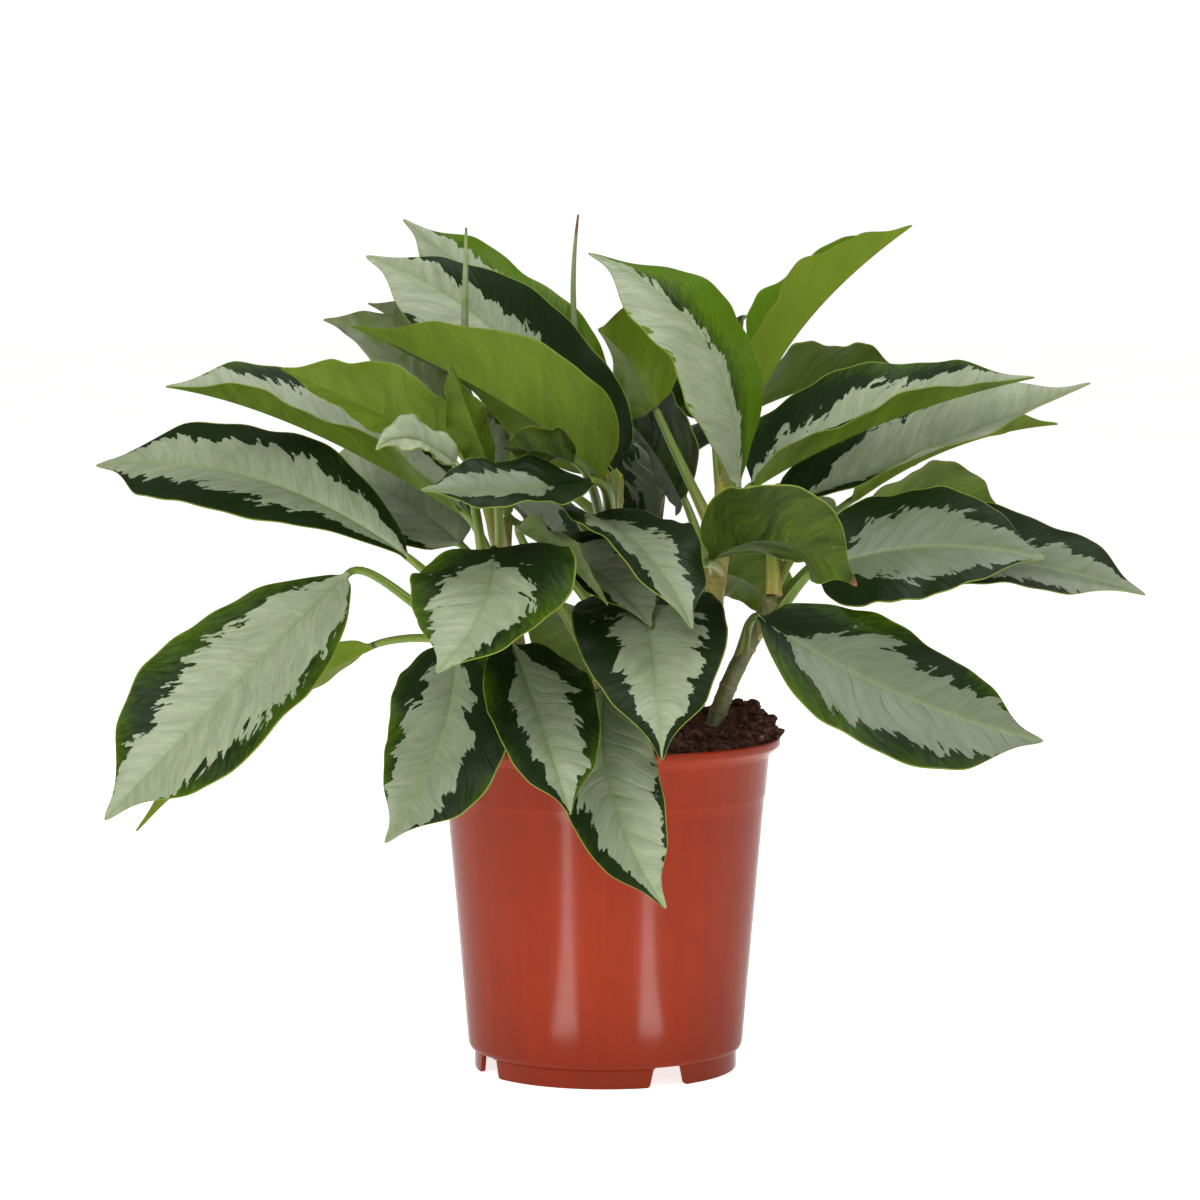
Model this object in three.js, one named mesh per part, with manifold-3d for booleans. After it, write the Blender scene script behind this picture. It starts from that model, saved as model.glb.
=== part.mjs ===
// Potted Chinese evergreen: silver and green leaves on seven short canes in a nursery pot.
// Millimetres, +Z up. The origin is on the surface that the pot stands on, on the pot's axis.
import * as THREE from 'three';
import { mergeVertices } from 'three/addons/utils/BufferGeometryUtils.js';
import Module from 'manifold-3d';

const wasm = await Module();
wasm.setup();

const gap = 0.3; // left between pieces that touch

const pot = {
  sides: 48,
  height: 182.6,
  rimRadius: 96,
  rimRound: 0.8,
  flareHeight: 173.2, // the wall flares out to the rim from here
  flareRise: 4.9,
  flareFloor: 1, // the inner side of the flare lies this much higher than the outer side
  neckRadius: 90.7, // the body's line carried up to the top
  stepHeight: 151, // faint stacking step in the body
  stepIn: 0.5,
  stepSlope: 1,
  waistRadius: 75.6, // body just above its foot
  cornerRadius: 6,
  cornerTurn: 66, // degrees of the rounded corner, down from level to the foot ring
  innerCorner: 4,
  wall: 1.8,
  footRadius: 72,
  footHeight: 9.3, // from here the body rounds out over its foot ring
  footWall: 2.6,
  floorHeight: 12.4, // underside of the floor
  floor: 2.4,
  notches: 4,
  notchTurn: 27.8, // degrees from the front, towards +X
  notchTop: 16.5,
  notchBottom: 20.5,
  notchHeight: 11.2,
  notchFlare: 2.5, // radius of the foot ring's rounded corners beside a notch
  drainRadius: 6,
  drainSides: 10,
  drainPlace: 54, // from the axis to a drain hole
};

const soil = {
  sides: 24,
  spread: [0.94, 0.85, 0.7, 0.52, 0.33, 0.17], // rings of its surface, as shares of its radius
  middle: 3, // radius of the small flats on the axis
  edgeLevel: 180.4,
  mound: 7, // rise towards the middle
  heap: 17, // extra heap against the right-hand cane
  heapAt: [74, -6],
  heapReach: 32,
  heapEdge: 20, // the higher, the steeper the heap falls off at the rim
  crumb: 1.8, // height of its lumps
  lumps: [30, 33, 15], // from one lump to the next along x, along y, and of the smaller ones
};

const cane = {
  sides: 8,
  rows: 7,
  samples: 100, // points looked at to find a height on it
  swell: 0.35, // the rings that fallen leaves left
};

const blade = {
  thick: 0.8,
  rows: [0.06, 0.18, 0.31, 0.45, 0.6, 0.75, 0.89, 1],
  across: [-1, -0.5, 0, 0.5, 1],
  belly: 0.43, // where along its length most blades are widest
  taper: 0.8, // below 1 the blade is fuller than a plain curve
  tipDraw: 0.6, // of its width, how much the last stretch is drawn in to a drip tip
  drawFrom: 0.78,
  drawTo: 0.96,
  tipWidth: 0.5,
  rollTaper: 0.7, // how a rolled leaf narrows
  ribDepth: 2.2, // how far the rib stands out under the blade at its base
  ribTaper: 0.8,
  cup: 10, // degrees that the margin lifts further than the middle
  arch: 2.4, // each half arches this high between the rib and the margin
  wave: 2.6, // height of the margin's waves
  waves: 2.3, // waves along one margin
  waveShift: 0.35, // of a wave, between the two margins
  nextWave: 0.382, // of a wave, from one leaf to the next
};

const petiole = {
  rows: 5,
  bladeEnd: 2.0, // radius where it meets the blade
  caneEnd: 3.6, // radius where it leaves the cane
  taper: 0.7,
  rise: 0.6, // how steeply most of them set out
  handle: 0.4, // of its reach, how far it keeps the way in which it sets out
};

// Every cane: points up its middle, and its radius at its foot and at its top.
const canes = {
  front: { from: 7, to: 4.5, line: [[-4, -22, 120], [-3, -24, 190], [4, -26, 240], [8, -24, 272]] },
  left: { from: 7, to: 4.5, line: [[-40, -24, 120], [-42, -26, 190], [-52, -32, 232], [-62, -36, 262]] },
  left_back: { from: 6.5, to: 4.5, line: [[-42, 22, 120], [-44, 20, 190], [-52, 8, 250], [-60, -4, 304]] },
  centre: { from: 7, to: 4.5, line: [[-2, 30, 120], [-2, 30, 190], [2, 26, 260], [6, 20, 326]] },
  middle: { from: 6.5, to: 4.8, line: [[44, 18, 120], [48, 16, 190], [60, 6, 260], [66, -2, 326]] },
  right: { from: 5.2, to: 4.6, line: [[54, -26, 120], [58, -26, 186], [66, -27, 211], [91, -28, 262]] },
  back: { from: 6.5, to: 4.5, line: [[8, 62, 120], [8, 66, 190], [8, 74, 236], [10, 80, 276]] },
};

// Every leaf: the height on its cane where it grows, its rib's start, middle and tip, the way its
// upper face looks, and half the blade's width, or its left-hand and right-hand halves as seen from
// its base. fold: degrees that each half lifts from the rib. belly: where along it the blade, or each
// half, is widest. rise: how steeply the petiole sets out, 0 level and 1 upright. rolled: a young leaf
// not yet open.
const leaves = {
  front: [
    { at: 236, face: [0, -0.6, 0.8], half: 41, fold: 8, belly: 0.38,
      rib: [[18, -46, 261], [24, -128, 239], [28, -186, 191]] },
    { at: 268, face: [0.4, -0.65, 0.65], half: [31, 38], fold: 12, belly: 0.38,
      rib: [[-13, -37, 304], [19, -100, 292], [44, -150, 254]] },
    { at: 240, face: [0.25, -0.6, 0.75], half: 26, fold: 10,
      rib: [[-31, -42, 292], [-2, -64, 275], [24, -106, 251]] },
    { at: 212, face: [0.05, -0.95, 0.3], half: 27, fold: 10,
      rib: [[-1, -76, 216], [3, -124, 165], [31, -136, 108]] },
    { at: 214, face: [0.55, 0.2, 0.4], half: 15, fold: 14,
      rib: [[-45, -58, 300], [-21, -96, 286], [1, -122, 264]] },
  ],
  left: [
    { at: 236, face: [-0.1, -0.6, 0.8], half: [46, 40], fold: 6, belly: 0.36,
      rib: [[-59, -80, 290], [-63, -146, 265], [-85, -186, 235]] },
    { at: 204, face: [-0.2, -0.85, 0.45], half: [40, 30], fold: 6, belly: [0.5, 0.34],
      rib: [[-80, -56, 240], [-87, -104, 191], [-114, -136, 142]] },
    { at: 218, face: [0.1, -0.85, 0.45], half: [31, 26], fold: 8, belly: 0.42,
      rib: [[-49, -74, 239], [-33, -132, 202], [-18, -162, 160]] },
    { at: 248, face: [0.1, -0.7, 0.65], half: 35, fold: 4, belly: [0.6, 0.52], rise: 0.3,
      rib: [[-106, -38, 283], [-192, 8, 323], [-286, 64, 328]] },
    { at: 226, face: [-0.3, -0.75, 0.5], half: [48, 44], fold: 6, belly: [0.51, 0.53], rise: 0.2,
      rib: [[-139, -35, 274], [-200, -72, 215], [-264, -92, 148]] },
    { at: 211, face: [-0.45, 0.6, 0.6], half: 22, fold: 16,
      rib: [[-128, 14, 231], [-194, 34, 190], [-262, 34, 125]] },
    { at: 243, face: [-0.1, -0.6, 0.75], half: [38, 30], fold: 8, belly: [0.36, 0.43],
      rib: [[-80, 26, 286], [-124, 62, 314], [-174, 92, 324]] },
    { at: 260, face: [0.1, -0.7, 0.7], half: 12, fold: 20, rise: 0.5,
      rib: [[-78, -96, 335], [-101, -108, 349], [-119, -112, 344]] },
  ],
  left_back: [
    { at: 254, face: [0, -0.1, 0.95], half: [24, 44], fold: 32, belly: 0.38,
      rib: [[-78, -20, 307], [-165, -8, 353], [-239, -8, 374]] },
    { at: 286, face: [0, 0.6, 0.75], half: 28, fold: 14,
      rib: [[-82, -48, 343], [-123, -60, 364], [-172, -62, 385]] },
    { at: 280, face: [-0.6, 0.75, 0.2], half: [18, 12], fold: 26, rise: 0.3,
      rib: [[-60, -66, 327], [-71, -84, 358], [-82, -76, 389]] },
    { at: 284, face: [-0.4, 0.6, 0.6], half: [19, 26], fold: 30,
      rib: [[-69, 10, 344], [-114, 16, 389], [-155, 20, 410]] },
    { at: 268, face: [0.1, 0.2, 0.9], half: 13, fold: 36, rise: 0.4,
      rib: [[-58, 28, 371], [-100, 32, 401], [-131, 30, 419]] },
    { at: 303, face: [0, -1, 0.1], half: 2.6, rolled: true,
      rib: [[-77, -20, 356], [-76, -23, 408], [-75, -24, 460]] },
  ],
  centre: [
    { at: 284, face: [-0.1, 0.62, 0.62], half: [36, 40], fold: 30, belly: 0.38,
      rib: [[-2, -40, 326], [-52, -62, 367], [-136, -36, 407]] },
    { at: 300, face: [-0.2, -0.6, 0.75], half: [40, 33], fold: 8, belly: [0.56, 0.35],
      rib: [[4, 2, 328], [-58, 14, 402], [-132, 32, 445]] },
    { at: 308, face: [0.3, -0.5, 0.8], half: [41, 35], fold: 12, belly: [0.58, 0.36],
      rib: [[-5, 40, 349], [-55, 64, 412], [-114, 84, 466]] },
    { at: 262, face: [0, -0.55, 0.85], half: 24, fold: 8, rise: 0.5,
      rib: [[-9, -76, 326], [-52, -112, 323], [-95, -128, 324]] },
    { at: 272, face: [0, 0.8, 0.5], half: 13, fold: 14, rise: 0.5,
      rib: [[-18, -68, 337], [-35, -84, 343], [-54, -88, 344]] },
    { at: 268, face: [0.2, -0.8, 0.5], half: 13, fold: 20,
      rib: [[-55, 30, 304], [-65, 40, 338], [-73, 42, 359]] },
    { at: 292, face: [-0.2, 0.7, 0.6], half: 24, fold: 10,
      rib: [[-32, 28, 326], [-50, 48, 357], [-67, 54, 375]] },
    { at: 322, face: [0, -1, 0.1], half: 2.2, rolled: true,
      rib: [[-6, 26, 344], [-17, 34, 404], [-15, 34, 468]] },
  ],
  middle: [
    { at: 320, face: [0.7, -0.6, 0.4], half: [34, 45], fold: -10, belly: [0.48, 0.45],
      rib: [[71, -40, 322], [52, -62, 399], [-9, -44, 446]] },
    { at: 326, face: [-0.6, 0.15, 0.75], half: [36, 26], fold: 44,
      rib: [[86, 18, 375], [119, 28, 420], [170, 42, 462]] },
    { at: 310, face: [0, 0.1, 0.95], half: [22, 36], fold: 36, belly: [0.43, 0.3],
      rib: [[78, 44, 360], [119, 66, 374], [170, 84, 382]] },
    { at: 278, face: [0, -0.15, 0.95], half: [41, 19], fold: 36, belly: [0.34, 0.4],
      rib: [[79, -22, 321], [150, -18, 356], [233, -8, 379]] },
    { at: 286, face: [0.2, 0.8, 0.5], half: 34, fold: 6,
      rib: [[28, 40, 361], [14, 58, 387], [-4, 78, 404]] },
    { at: 262, face: [0, 0.8, 0.5], half: 36, fold: 10,
      rib: [[44, 40, 310], [24, 86, 342], [-2, 126, 364]] },
    { at: 298, face: [0, 0.7, 0.7], half: 32, fold: 20,
      rib: [[62, 62, 354], [67, 100, 385], [71, 130, 408]] },
    { at: 238, face: [0.1, 0.8, 0.4], half: 22, fold: 10,
      rib: [[59, 26, 271], [81, 44, 264], [105, 60, 240]] },
    { at: 270, face: [0, 0.85, 0.5], half: 31, fold: 16, rise: 0.3,
      rib: [[56, -84, 286], [90, -124, 298], [128, -148, 276]] },
  ],
  right: [
    { at: 226, face: [0.1, -0.75, 0.6], half: [36, 44], fold: 4, belly: [0.38, 0.54],
      rib: [[82, -56, 252], [153, -90, 215], [229, -102, 191]] },
    { at: 239, face: [0, -0.7, 0.7], half: [38, 43], fold: 4, belly: [0.43, 0.37], rise: 0.4,
      rib: [[113, -30, 275], [171, -44, 289], [234, -58, 284]] },
    { at: 234, face: [0.1, -0.6, 0.75], half: [36, 30], fold: 6, belly: [0.42, 0.43], rise: 0.5,
      rib: [[128, 12, 282], [213, -6, 280], [290, -40, 263]] },
    { at: 261, face: [0, -0.4, 0.9], half: [36, 23], fold: 20, belly: [0.36, 0.4], rise: 0.7,
      rib: [[96, 16, 307], [183, 22, 340], [268, 30, 375]] },
    { at: 250, face: [0, 0.4, 0.9], half: 24, fold: 16,
      rib: [[137, 50, 309], [194, 62, 339], [255, 72, 351]] },
    { at: 218, face: [0, 0.6, 0.8], half: 24, fold: 8,
      rib: [[142, 64, 292], [184, 88, 311], [225, 108, 302]] },
  ],
  back: [
    { at: 250, face: [-0.2, 0.5, 0.85], half: 38, fold: 10,
      rib: [[-26, 100, 270], [-54, 140, 302], [-92, 178, 292]] },
    { at: 264, face: [0, 0.5, 0.85], half: 40, fold: 14, belly: 0.34,
      rib: [[30, 118, 289], [38, 154, 332], [42, 184, 342]] },
    { at: 240, face: [0.2, 0.5, 0.85], half: 38, fold: 8,
      rib: [[46, 98, 262], [90, 130, 292], [142, 164, 284]] },
    { at: 224, face: [0, 0.85, 0.5], half: 36, fold: 8,
      rib: [[-6, 104, 240], [-12, 152, 224], [-18, 180, 178]] },
  ],
};

const finish = {
  pot: { color: 0xa8432c, roughness: 0.38 },
  soil: { color: 0x3b2a24, roughness: 0.95 },
  cane: { color: 0xa9a86a, roughness: 0.55 },
  leaf: { color: 0x5f7a55, roughness: 0.42 },
};

const vec = (p) => new THREE.Vector3(...p);
const radians = THREE.MathUtils.degToRad;
const mix = THREE.MathUtils.lerp;
const xAxis = new THREE.Vector3(1, 0, 0);
const zAxis = new THREE.Vector3(0, 0, 1);

function toSolid(geometry) {
  const bare = geometry.clone();
  bare.deleteAttribute('normal');
  bare.deleteAttribute('uv');
  const merged = mergeVertices(bare, 1e-4);
  const vertProperties = new Float32Array(merged.attributes.position.array);
  const triVerts = new Uint32Array(merged.index.array);
  return new wasm.Manifold(new wasm.Mesh({ numProp: 3, vertProperties, triVerts }));
}

// A closed body over equal rings of points, turning anticlockwise about the way they follow.
// otherWay(k) tells which of its walls are split along their other diagonal.
function skin(rings, otherWay = () => false) {
  const count = rings[0].length;
  const last = (rings.length - 1) * count;
  const faces = [];
  for (let start = 0; start < last; start += count) {
    for (let k = 0; k < count; k += 1) {
      const a = start + k;
      const b = start + ((k + 1) % count);
      const c = b + count;
      const d = a + count;
      faces.push(...(otherWay(k) ? [a, b, d, b, c, d] : [a, b, c, a, c, d]));
    }
  }
  for (let k = 1; k < count - 1; k += 1) {
    faces.push(0, k + 1, k);
    faces.push(last, last + k, last + k + 1);
  }
  const geometry = new THREE.BufferGeometry();
  const points = rings.flat().flatMap((p) => p.toArray());
  geometry.setAttribute('position', new THREE.Float32BufferAttribute(points, 3));
  geometry.setIndex(faces);
  return toSolid(geometry);
}

function ring(centre, side, up, radius, angles) {
  return angles.map((angle) => centre.clone()
    .addScaledVector(side, radius * Math.cos(angle))
    .addScaledVector(up, radius * Math.sin(angle)));
}

const evenAngles = (count) => Array.from({ length: count }, (_, k) => (2 * Math.PI * k) / count);

function makeCane({ line, from, to }, extra = 0) {
  const curve = new THREE.CatmullRomCurve3(line.map(vec));
  const rings = [];
  for (let row = 0; row <= cane.rows; row += 1) {
    const t = row / cane.rows;
    const forward = curve.getTangent(t);
    const up = forward.clone().cross(xAxis).normalize();
    const side = up.clone().cross(forward);
    const radius = mix(from, to, t) + (row % 2) * cane.swell + extra;
    rings.push(ring(curve.getPoint(t), side, up, radius, evenAngles(cane.sides)));
  }
  return skin(rings);
}

// The point on a cane's middle line at a height.
function caneAt({ line }, height) {
  const curve = new THREE.CatmullRomCurve3(line.map(vec));
  const points = curve.getPoints(cane.samples);
  return points.find((p) => p.z >= height) ?? points.at(-1);
}

// Half the width of a blade at t, 0 at its base and 1 at its tip, as a share of the widest.
function outline(t, belly) {
  const swell = (blade.taper * belly) / (1 - belly);
  const share = (t / belly) ** swell * ((1 - t) / (1 - belly)) ** blade.taper;
  return share * (1 - blade.tipDraw * THREE.MathUtils.smoothstep(t, blade.drawFrom, blade.drawTo));
}

// The curve through a rib's three points, and its direction.
function ribCurve([start, middle, end]) {
  const weigh = (a, b, c) => start.clone().multiplyScalar(a)
    .addScaledVector(middle, b)
    .addScaledVector(end, c);
  return {
    point: (t) => weigh((2 * t - 1) * (t - 1), 4 * t * (1 - t), t * (2 * t - 1)),
    heading: (t) => weigh(4 * t - 3, 4 - 8 * t, 4 * t - 1).normalize(),
  };
}

function petioleRings(root, base, rise, heading, upAt, angles) {
  const reach = base.distanceTo(root);
  const level = base.clone().sub(root).setZ(0).normalize();
  const start = level.multiplyScalar(1 - rise).addScaledVector(zAxis, rise).normalize();
  const handle = reach * petiole.handle;
  const stalk = new THREE.CubicBezierCurve3(
    root,
    root.clone().addScaledVector(start, handle),
    base.clone().addScaledVector(heading, -handle / 2),
    base,
  );
  return Array.from({ length: petiole.rows }, (_, row) => {
    const t = row / (petiole.rows - 1);
    const forward = stalk.getTangent(t);
    const up = upAt(forward);
    const radius = mix(petiole.caneEnd, petiole.bladeEnd, t ** petiole.taper);
    return ring(stalk.getPoint(t), up.clone().cross(forward), up, radius, angles);
  });
}

// turn: where the margin's waves start, different on every leaf.
function makeLeaf(stem, leaf, turn) {
  const { fold = 0, belly = blade.belly, rise = petiole.rise, rolled = false } = leaf;
  const [leftHalf, rightHalf = leftHalf] = [leaf.half].flat();
  const [leftBelly, rightBelly = leftBelly] = [belly].flat();
  const points = leaf.rib.map(vec);
  const rib = ribCurve(points);
  const upAt = (forward) => {
    const up = vec(leaf.face);
    return up.addScaledVector(forward, -up.dot(forward)).normalize();
  };

  const count = 2 * blade.across.length;
  const angles = evenAngles(count).map((angle) => angle + Math.PI / count);
  const root = caneAt(stem, leaf.at);
  const rings = petioleRings(root, points[0], rise, rib.heading(0), upAt, angles);
  for (const t of blade.rows) {
    const forward = rib.heading(t);
    const up = upAt(forward);
    const side = up.clone().cross(forward);
    if (rolled) {
      const radius = leaf.half * (1 - t) ** blade.rollTaper + blade.tipWidth;
      rings.push(ring(rib.point(t), side, up, radius, angles));
      continue;
    }
    const keel = blade.ribDepth * (1 - t) ** blade.ribTaper;
    const place = (v, surface) => {
      const share = outline(t, v > 0 ? leftBelly : rightBelly);
      const width = (v > 0 ? leftHalf : rightHalf) * share + blade.tipWidth;
      const lift = radians(fold + (blade.cup * Math.abs(v)) / 2);
      const sign = Math.sign(v);
      const phase = 2 * Math.PI * (blade.waves * t + turn + (v > 0 ? blade.waveShift : 0));
      const ripple = blade.wave * v * v * share * Math.sin(phase);
      const arch = blade.arch * Math.sin(Math.PI * Math.abs(v)) * share;
      const skinOut = (surface * blade.thick) / 2;
      const ribOut = surface < 0 && v === 0 ? keel : 0;
      const out = v * width * Math.cos(lift) - sign * skinOut * Math.sin(lift);
      const high = Math.abs(v) * width * Math.sin(lift) + skinOut * Math.cos(lift);
      return rib.point(t).addScaledVector(side, out).addScaledVector(up, high + ripple + arch - ribOut);
    };
    const top = [...blade.across].reverse().map((v) => place(v, 1));
    const under = blade.across.map((v) => place(v, -1));
    rings.push([...top, ...under]);
  }
  return skin(rings, (k) => k >= blade.across.length);
}

// A radius of the pot's body at a height, outside.
function bodyRadius(z) {
  const t = (z - pot.footHeight - pot.cornerRadius) / (pot.height - pot.footHeight - pot.cornerRadius);
  const straight = mix(pot.waistRadius + pot.stepIn, pot.neckRadius, t);
  return z < pot.stepHeight ? straight - pot.stepIn : straight;
}

// The pot in section: its floor, foot ring, rounded corner, body, step, flared rim and inner wall.
function potSection() {
  const { footHeight, footRadius, footWall, floorHeight, cornerRadius } = pot;
  const { stepHeight, height, rimRadius, rimRound } = pot;
  const corner = [bodyRadius(footHeight + cornerRadius) - cornerRadius, footHeight + cornerRadius];
  const round = ([x, y], radius, turns) => turns.map(radians)
    .map((turn) => [x + radius * Math.cos(turn), y + radius * Math.sin(turn)]);
  const line = [
    [0, floorHeight],
    [footRadius - footWall, floorHeight],
    [footRadius - footWall, 0],
    [footRadius, 0],
    ...round(corner, cornerRadius, [-pot.cornerTurn, -pot.cornerTurn / 2, 0]),
    [bodyRadius(stepHeight - pot.stepSlope), stepHeight - pot.stepSlope],
    [bodyRadius(stepHeight), stepHeight],
    [bodyRadius(pot.flareHeight), pot.flareHeight],
    [rimRadius, pot.flareHeight + pot.flareRise],
    [rimRadius, height - rimRound],
    [rimRadius - rimRound, height],
    [rimRadius - pot.wall, height],
    ...potInside().reverse(),
  ];
  return line.map(([x, y]) => new THREE.Vector2(x, y));
}

// The inner wall from the middle of the floor into the rim, or a line that stays clear of it inside.
function potInside(clear = 0) {
  const floor = pot.floorHeight + pot.floor;
  const corner = pot.innerCorner;
  const inner = (z) => bodyRadius(z) - pot.wall - clear;
  const flare = pot.flareHeight + pot.flareFloor + clear;
  return [
    [0, floor + clear],
    [inner(floor + corner) - corner, floor + clear],
    [inner(floor + corner), floor + corner],
    [inner(pot.stepHeight - corner), pot.stepHeight - corner],
    [inner(pot.stepHeight), pot.stepHeight],
    [inner(pot.flareHeight), flare],
    [pot.rimRadius - pot.wall - clear, flare + pot.flareRise],
  ];
}

// Half of a notch in the foot ring, from its top to the rounded corner at the bottom.
function notchSide(sign) {
  const { notchTop, notchBottom, notchHeight, notchFlare } = pot;
  const wide = notchBottom / 2 + notchFlare;
  const turns = [0, -45, -90].map(radians);
  const corner = turns.map((turn) => [notchFlare * Math.cos(turn), notchFlare * Math.sin(turn)]);
  return [
    [notchTop / 2, notchHeight],
    ...corner.map(([x, y]) => [wide - x, notchFlare + y]),
    [wide, -notchFlare],
  ].map(([x, y]) => new THREE.Vector2(sign * x, y));
}

function makePot() {
  const body = new THREE.LatheGeometry(potSection(), pot.sides).rotateX(Math.PI / 2);
  const { footWall, drainRadius, drainSides } = pot;
  const shape = new THREE.Shape([...notchSide(1), ...notchSide(-1).reverse()]);
  let solid = toSolid(body);
  for (let k = 0; k < pot.notches; k += 1) {
    const turn = radians(pot.notchTurn) + (2 * Math.PI * k) / pot.notches - Math.PI / 2;
    const notch = new THREE.ExtrudeGeometry(shape, { depth: 3 * footWall, bevelEnabled: false });
    notch.rotateX(Math.PI / 2).rotateZ(Math.PI / 2);
    notch.translate(pot.footRadius - 2 * footWall, 0, 0).rotateZ(turn);
    const drain = new THREE.CylinderGeometry(drainRadius, drainRadius, 4 * pot.floor, drainSides);
    drain.rotateX(Math.PI / 2).translate(pot.drainPlace, 0, pot.floorHeight).rotateZ(turn);
    solid = solid.subtract(toSolid(notch)).subtract(toSolid(drain));
  }
  return solid;
}

// The height of the soil's surface. It lies level along the rim.
function soilLevel(x, y) {
  const [lumpX, lumpY, small] = soil.lumps.map((length) => (2 * Math.PI) / length);
  const spread = Math.hypot(x, y) / (pot.rimRadius - pot.wall - gap);
  const away = Math.hypot(x - soil.heapAt[0], y - soil.heapAt[1]) / soil.heapReach;
  const lumps = Math.sin(lumpX * x + 1) * Math.sin(lumpY * y) + Math.sin(small * (x + y)) / 2;
  const loose = soil.heap * Math.exp(-(away ** 2)) + soil.crumb * lumps;
  return soil.edgeLevel + soil.mound * (1 - spread ** 2) + loose * (1 - spread ** soil.heapEdge);
}

function makeSoil() {
  const around = (radius, level) => evenAngles(soil.sides).map((angle) => {
    const x = radius * Math.cos(angle);
    const y = radius * Math.sin(angle);
    return new THREE.Vector3(x, y, level ?? soilLevel(x, y));
  });
  const wallLine = potInside(gap).slice(1);
  const edge = pot.rimRadius - pot.wall - gap;
  const rings = [around(soil.middle, wallLine[0][1])];
  for (const [radius, level] of wallLine) rings.push(around(radius, level));
  rings.push(around(edge));
  for (const share of soil.spread) rings.push(around(edge * share));
  rings.push(around(soil.middle));
  return skin(rings);
}

const plant = new THREE.Group();

function add(name, solid, look) {
  const { vertProperties, triVerts } = solid.getMesh();
  const geometry = new THREE.BufferGeometry();
  geometry.setAttribute('position', new THREE.BufferAttribute(vertProperties, 3));
  geometry.setIndex(new THREE.BufferAttribute(triVerts, 1));
  const mesh = new THREE.Mesh(geometry, new THREE.MeshStandardMaterial({ metalness: 0, ...look }));
  mesh.name = name;
  plant.add(mesh);
}

add('pot', makePot(), finish.pot);
let ground = makeSoil();
let waveTurn = 0;
for (const [name, stem] of Object.entries(canes)) {
  const socket = makeCane(stem, gap);
  ground = ground.subtract(socket);
  add(`cane_${name}`, makeCane(stem), finish.cane);
  leaves[name].forEach((leaf, index) => {
    waveTurn += blade.nextWave;
    add(`leaf_${name}_${index + 1}`, makeLeaf(stem, leaf, waveTurn).subtract(socket), finish.leaf);
  });
}
add('soil', ground, finish.soil);

export default plant;
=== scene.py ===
# Potted Chinese evergreen: silver and green leaves on seven short canes, in a moulded nursery pot.
import bmesh
import bpy
import random
from math import copysign, cos, degrees, exp, hypot, pi, radians, sin, sqrt
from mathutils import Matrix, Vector, noise


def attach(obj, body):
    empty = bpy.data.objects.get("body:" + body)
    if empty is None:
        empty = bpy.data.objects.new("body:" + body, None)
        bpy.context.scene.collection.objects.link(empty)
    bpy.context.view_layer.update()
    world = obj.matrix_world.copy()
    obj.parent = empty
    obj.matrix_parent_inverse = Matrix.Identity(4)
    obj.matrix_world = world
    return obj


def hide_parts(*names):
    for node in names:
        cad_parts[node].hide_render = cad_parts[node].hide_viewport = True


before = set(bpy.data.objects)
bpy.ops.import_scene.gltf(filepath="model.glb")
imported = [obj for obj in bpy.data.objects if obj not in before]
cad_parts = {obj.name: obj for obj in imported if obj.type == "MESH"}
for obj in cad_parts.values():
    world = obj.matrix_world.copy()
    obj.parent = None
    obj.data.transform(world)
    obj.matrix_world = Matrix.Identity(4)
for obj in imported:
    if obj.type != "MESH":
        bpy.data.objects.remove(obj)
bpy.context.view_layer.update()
mm = 0.001  # sizes below are in millimetres, and meshes are made in metres


# shared helpers

def linearColour(hexText):  # sRGB hex to the linear values that shaders work in
    channels = [int(hexText[i:i + 2], 16) / 255 for i in (1, 3, 5)]
    return [c / 12.92 if c <= 0.04045 else ((c + 0.055) / 1.055) ** 2.4 for c in channels] + [1]


def setInputs(node, inputs):  # each input takes a value, a socket or a node
    for name, value in inputs.items():
        if isinstance(value, bpy.types.Node):
            value = next(out for out in value.outputs if out.enabled)
        if isinstance(value, bpy.types.NodeSocket):
            node.id_data.links.new(value, node.inputs[name])
        else:
            node.inputs[name].default_value = value
    return node


def addNode(tree, kind, inputs=None, **settings):
    node = tree.nodes.new("ShaderNode" + kind)
    for name, value in settings.items():
        setattr(node, name, value)
    return setInputs(node, inputs or {})


def newMaterial(name, **surface):  # gives the material, its shader, and what adds nodes to it
    material = bpy.data.materials.new(name)
    material.use_nodes = True
    tree = material.node_tree
    shader = tree.nodes["Principled BSDF"]
    setInputs(shader, {label.replace("_", " "): value for label, value in surface.items()})
    return material, shader, lambda *node, **settings: addNode(tree, *node, **settings)


def readMark(add, name):  # the three numbers that the points of a piece carry under this name
    return add("SeparateXYZ", {0: add("Attribute", attribute_name=name).outputs["Vector"]}).outputs


def coats(add, look, colour, *rows):  # lays colours of a look over its first one, or over a node
    def coat(name, value, start, full, most=1, ease="LINEAR"):  # it covers most where the value is full
        share = add("MapRange", {"Value": value, "From Min": start, "From Max": full, "To Max": most},
                    interpolation_type=ease)
        return add("Mix", {0: share, 6: colour, 7: linearColour(look[name])}, data_type="RGBA")

    if isinstance(colour, str):
        colour = linearColour(look[colour])
    for row in rows:
        colour = coat(*row)
    return colour


def mix(a, b, t):
    return a + (b - a) * t


def smoothStep(low, high, x):
    t = min(max((x - low) / (high - low), 0), 1)
    return t * t * (3 - 2 * t)


def skinFaces(rings, count):  # walls between equal rings that turn anticlockwise, and both ends
    faces = []
    for start in range(0, (rings - 1) * count, count):
        for k in range(count):
            a, b = start + k, start + (k + 1) % count
            faces.append((a, b, b + count, a + count))
    last = (rings - 1) * count
    return faces + [tuple(reversed(range(count))), tuple(range(last, last + count))]


def newObject(name, data):
    thing = bpy.data.objects.new(name, data)
    bpy.context.collection.objects.link(thing)
    return thing


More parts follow.
